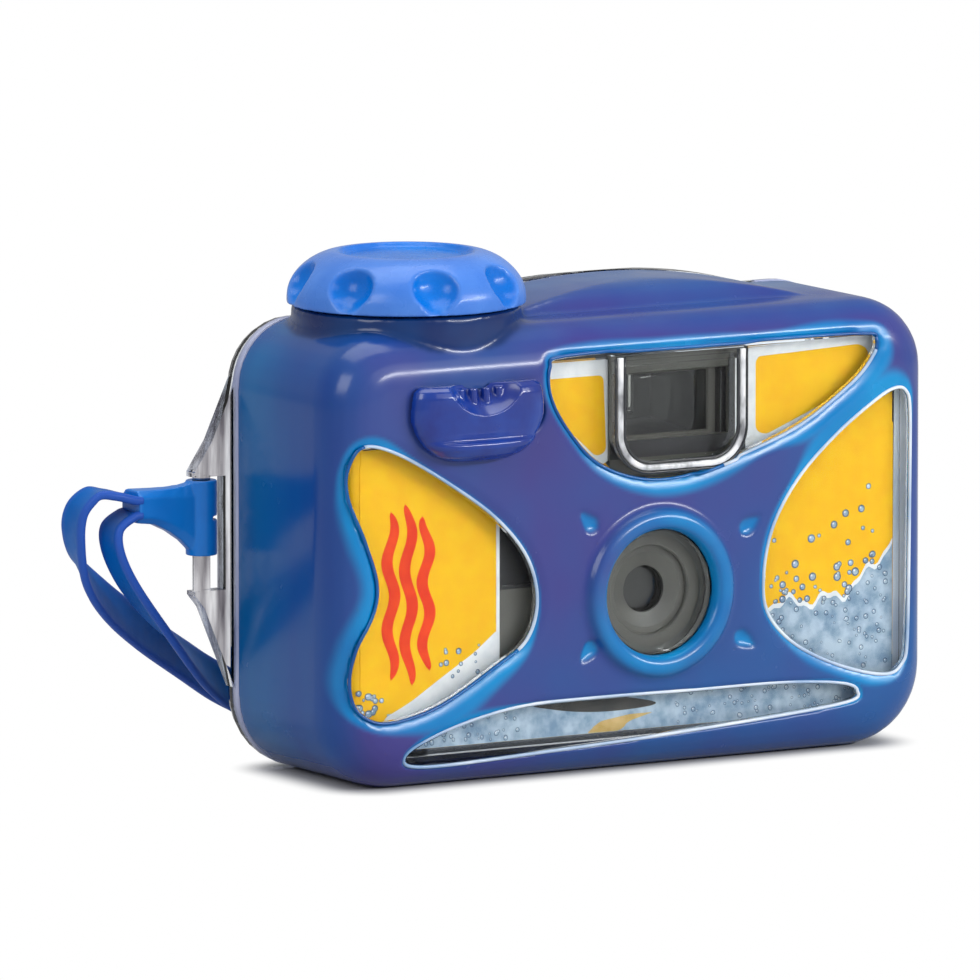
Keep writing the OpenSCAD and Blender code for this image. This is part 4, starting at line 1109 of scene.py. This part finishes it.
def make_inside():
    ring_plate("port_mask", inner=7.9, outer=11.6, y0=MASK_FRONT, y1=MASK_BACK, material=GREY)
    olive = plastic("finder_grey", srgb(72, 72, 65), srgb(90, 89, 80), (0.3, 0.45), 1400, 0.03)
    frame_plate("finder_mask", FINDER[0] + 1.6, FINDER[1], width=28.4, height=18.6, border=3.4,
                y0=FINDER_MASK_FRONT, y1=MASK_BACK, material=olive)
    wall = [(20.4, 56.4), (23.4, 57.6), (23.4, 73.2), (20.4, 73.2)]
    flat_print("finder_wall", wall, MASK_FRONT, BLACK)
    sill = [(-4.4, 52), (22.6, 52), (22.6, 57), (-4.4, 57)]
    flat_print("finder_sill", sill, SILL_Y, olive)
    floor = [(-4.4, 55.7), (20.3, 55.7), (20.3, 58.8), (-4.4, 58.8)]
    flat_print("finder_floor", floor, MASK_FRONT, BLACK)
    frame_plate("finder_step", FINDER[0], FINDER[1], width=22, height=14, border=1.6,
                y0=STEP_FRONT, y1=STEP_BACK, material=GREY)
    card = [(CARD_LEFT + 0.1, 16), (-14, 16), (-14, 34), (CARD_LEFT + 0.1, 34)]
    flat_print("recess_card", card, RECESS_Y, GREY)


# Finishes of the nodes that stay

def finish_nodes():
    rubber = plastic("seal_rubber", srgb(14, 14, 15), srgb(24, 24, 25), (0.55, 0.7), 1600, 0.03)
    white = plastic("white_plastic", srgb(206, 205, 198), srgb(226, 225, 219), (0.35, 0.5))
    silicone = plastic("seam_silicone", srgb(150, 156, 166), srgb(178, 184, 194), (0.4, 0.5))
    red = plastic("red_plastic", srgb(176, 32, 24), srgb(204, 48, 34), (0.3, 0.45))
    dark = plastic("tube_grey", srgb(44, 44, 42), srgb(58, 58, 55), (0.35, 0.5), 1400, 0.03)
    can = metal("can_steel", srgb(150, 146, 130), srgb(196, 192, 176), (0.25, 0.4))
    film = plastic("film_base", srgb(70, 42, 30), srgb(92, 58, 42), (0.12, 0.22), 1600, 0.01)
    groups = {
        CLEAR: ["front_shell", "lens_window"],
        lug_material(): ["rear_cover"],
        GLASS: ["taking_lens", "finder_front_lens", "finder_eyepiece"],
        silicone: ["seam_gasket"],
        rubber: ["knob_seal", "lever_seal"],
        STEEL: ["knob_clip", "lever_clip", "lever_spring", "blade_spring", "striker_spring", "striker_lever",
                "latch_lever"],
        GREY: ["lens_retainer"],
        BLACK: ["drive_shaft", "lever_shaft", "release_arm", "camera_frame", "front_panel", "rear_panel",
                "top_panel", "shutter_blade", "thumbwheel", "ratchet_pawl", "cartridge_spool",
                "supply_spool"],
        dark: ["finder_tube"],
        white: ["sprocket", "metering_cam", "counter_disc"],
        red: ["release_button"],
        can: ["cartridge_shell", "cartridge_caps"],
        film: ["film_strip", "film_roll"]}
    for material, names in groups.items():
        for name in names:
            finish_with(name, material)


# Stage and light, in metres and watts

FLOOR_HALF = 3.0
FLOOR_GREY = 0.55
# The floor keeps its shadow in a box of these half sizes, and fades to white between these distances from it.
SHADOW_HALF = (0.05, 0.012, 0)
SHADOW_FADE = (0.004, 0.013)
WORLD_LEVEL = 0.45
MIDDLE = (-0.01, 0, 0.04)
# Each lamp's name, place, width, height and power.
LAMPS = (
    ("key", (0.3, -0.95, 0.6), 0.8, 0.4, 1.2),
    ("strip", (0.56, -0.88, 0.42), 0.8, 0.08, 7.4),
    ("side", (-0.9, -0.35, 0.6), 0.5, 0.5, 3.4),
    ("top", (0.0, 0.15, 1.0), 0.9, 0.7, 5))


def math_node(tree, operation, first, second):
    node = tree.nodes.new("ShaderNodeMath")
    node.operation = operation
    tree.links.new(first, node.inputs[0])
    tree.links.new(second, node.inputs[1])
    return node.outputs["Value"]


def vector_node(tree, operation, first, second=None):
    node = tree.nodes.new("ShaderNodeVectorMath")
    node.operation = operation
    tree.links.new(first, node.inputs[0])
    if second is not None:
        node.inputs[1].default_value = second
    return node.outputs["Value" if operation == "LENGTH" else "Vector"]


def past_shadow(tree):
    """Zero in the shadow's box on the floor, rising to one beyond it."""
    place = tree.nodes.new("ShaderNodeTexCoord").outputs["Object"]
    over = vector_node(tree, "SUBTRACT", vector_node(tree, "ABSOLUTE", place), SHADOW_HALF)
    away = vector_node(tree, "LENGTH", vector_node(tree, "MAXIMUM", over, (0, 0, 0)))
    fade = tree.nodes.new("ShaderNodeMapRange")
    fade.interpolation_type = "SMOOTHSTEP"
    fade.inputs["From Min"].default_value = SHADOW_FADE[0]
    fade.inputs["From Max"].default_value = SHADOW_FADE[1]
    tree.links.new(away, fade.inputs["Value"])
    return fade.outputs["Result"]


def make_floor_material():
    """Pale matt floor: it keeps the shadow near the object and reads as white further out."""
    material = bpy.data.materials.new("floor_white")
    material.use_nodes = True
    tree = material.node_tree
    matt = tree.nodes["Principled BSDF"]
    matt.inputs["Base Color"].default_value = (FLOOR_GREY, FLOOR_GREY, FLOOR_GREY, 1)
    matt.inputs["Roughness"].default_value = 0.9
    matt.inputs["Specular IOR Level"].default_value = 0.1
    white = tree.nodes.new("ShaderNodeEmission")
    white.inputs["Strength"].default_value = 1.0
    rays = tree.nodes.new("ShaderNodeLightPath")
    seen = math_node(tree, "MULTIPLY", rays.outputs["Is Camera Ray"], past_shadow(tree))
    through = math_node(tree, "MAXIMUM", seen, rays.outputs["Is Transmission Ray"])
    blend = tree.nodes.new("ShaderNodeMixShader")
    tree.links.new(through, blend.inputs["Fac"])
    tree.links.new(matt.outputs["BSDF"], blend.inputs[1])
    tree.links.new(white.outputs["Emission"], blend.inputs[2])
    tree.links.new(blend.outputs["Shader"], tree.nodes["Material Output"].inputs["Surface"])
    return material


def make_stage():
    corners = [(x * FLOOR_HALF, y * FLOOR_HALF, 0) for x, y in ((-1, -1), (1, -1), (1, 1), (-1, 1))]
    mesh = bpy.data.meshes.new("floor")
    mesh.from_pydata(corners, [], [(0, 1, 2, 3)])
    floor = bpy.data.objects.new("floor", mesh)
    SCENE.collection.objects.link(floor)
    mesh.materials.append(make_floor_material())


def make_world():
    """Even white light all round, seen at full white by the camera and through clear pieces."""
    world = bpy.data.worlds.new("studio")
    SCENE.world = world
    world.use_nodes = True
    tree = world.node_tree
    background = tree.nodes["Background"]
    background.inputs["Color"].default_value = (1, 1, 1, 1)
    rays = tree.nodes.new("ShaderNodeLightPath")
    seen = math_node(tree, "MAXIMUM", rays.outputs["Is Camera Ray"], rays.outputs["Is Transmission Ray"])
    level = tree.nodes.new("ShaderNodeMapRange")
    level.inputs["To Min"].default_value = WORLD_LEVEL
    level.inputs["To Max"].default_value = 1.0
    tree.links.new(seen, level.inputs["Value"])
    tree.links.new(level.outputs["Result"], background.inputs["Strength"])


def softbox(name, place, width, height, power):
    data = bpy.data.lights.new(name, "AREA")
    data.shape = "RECTANGLE"
    data.size = width
    data.size_y = height
    data.energy = power
    lamp = bpy.data.objects.new(name, data)
    lamp.location = place
    lamp.rotation_euler = (Vector(place) - Vector(MIDDLE)).to_track_quat("Z", "Y").to_euler()
    SCENE.collection.objects.link(lamp)


def make_lights():
    for lamp in LAMPS:
        softbox(*lamp)


make_camera()
make_strap()
make_skin()
make_beads()
make_finder_rim()
make_gasket_lips()
make_knob()
make_lever()
make_connector()
make_label()
make_inside()
finish_nodes()
make_stage()
make_world()
make_lights()
SCENE.view_settings.view_transform = "Standard"
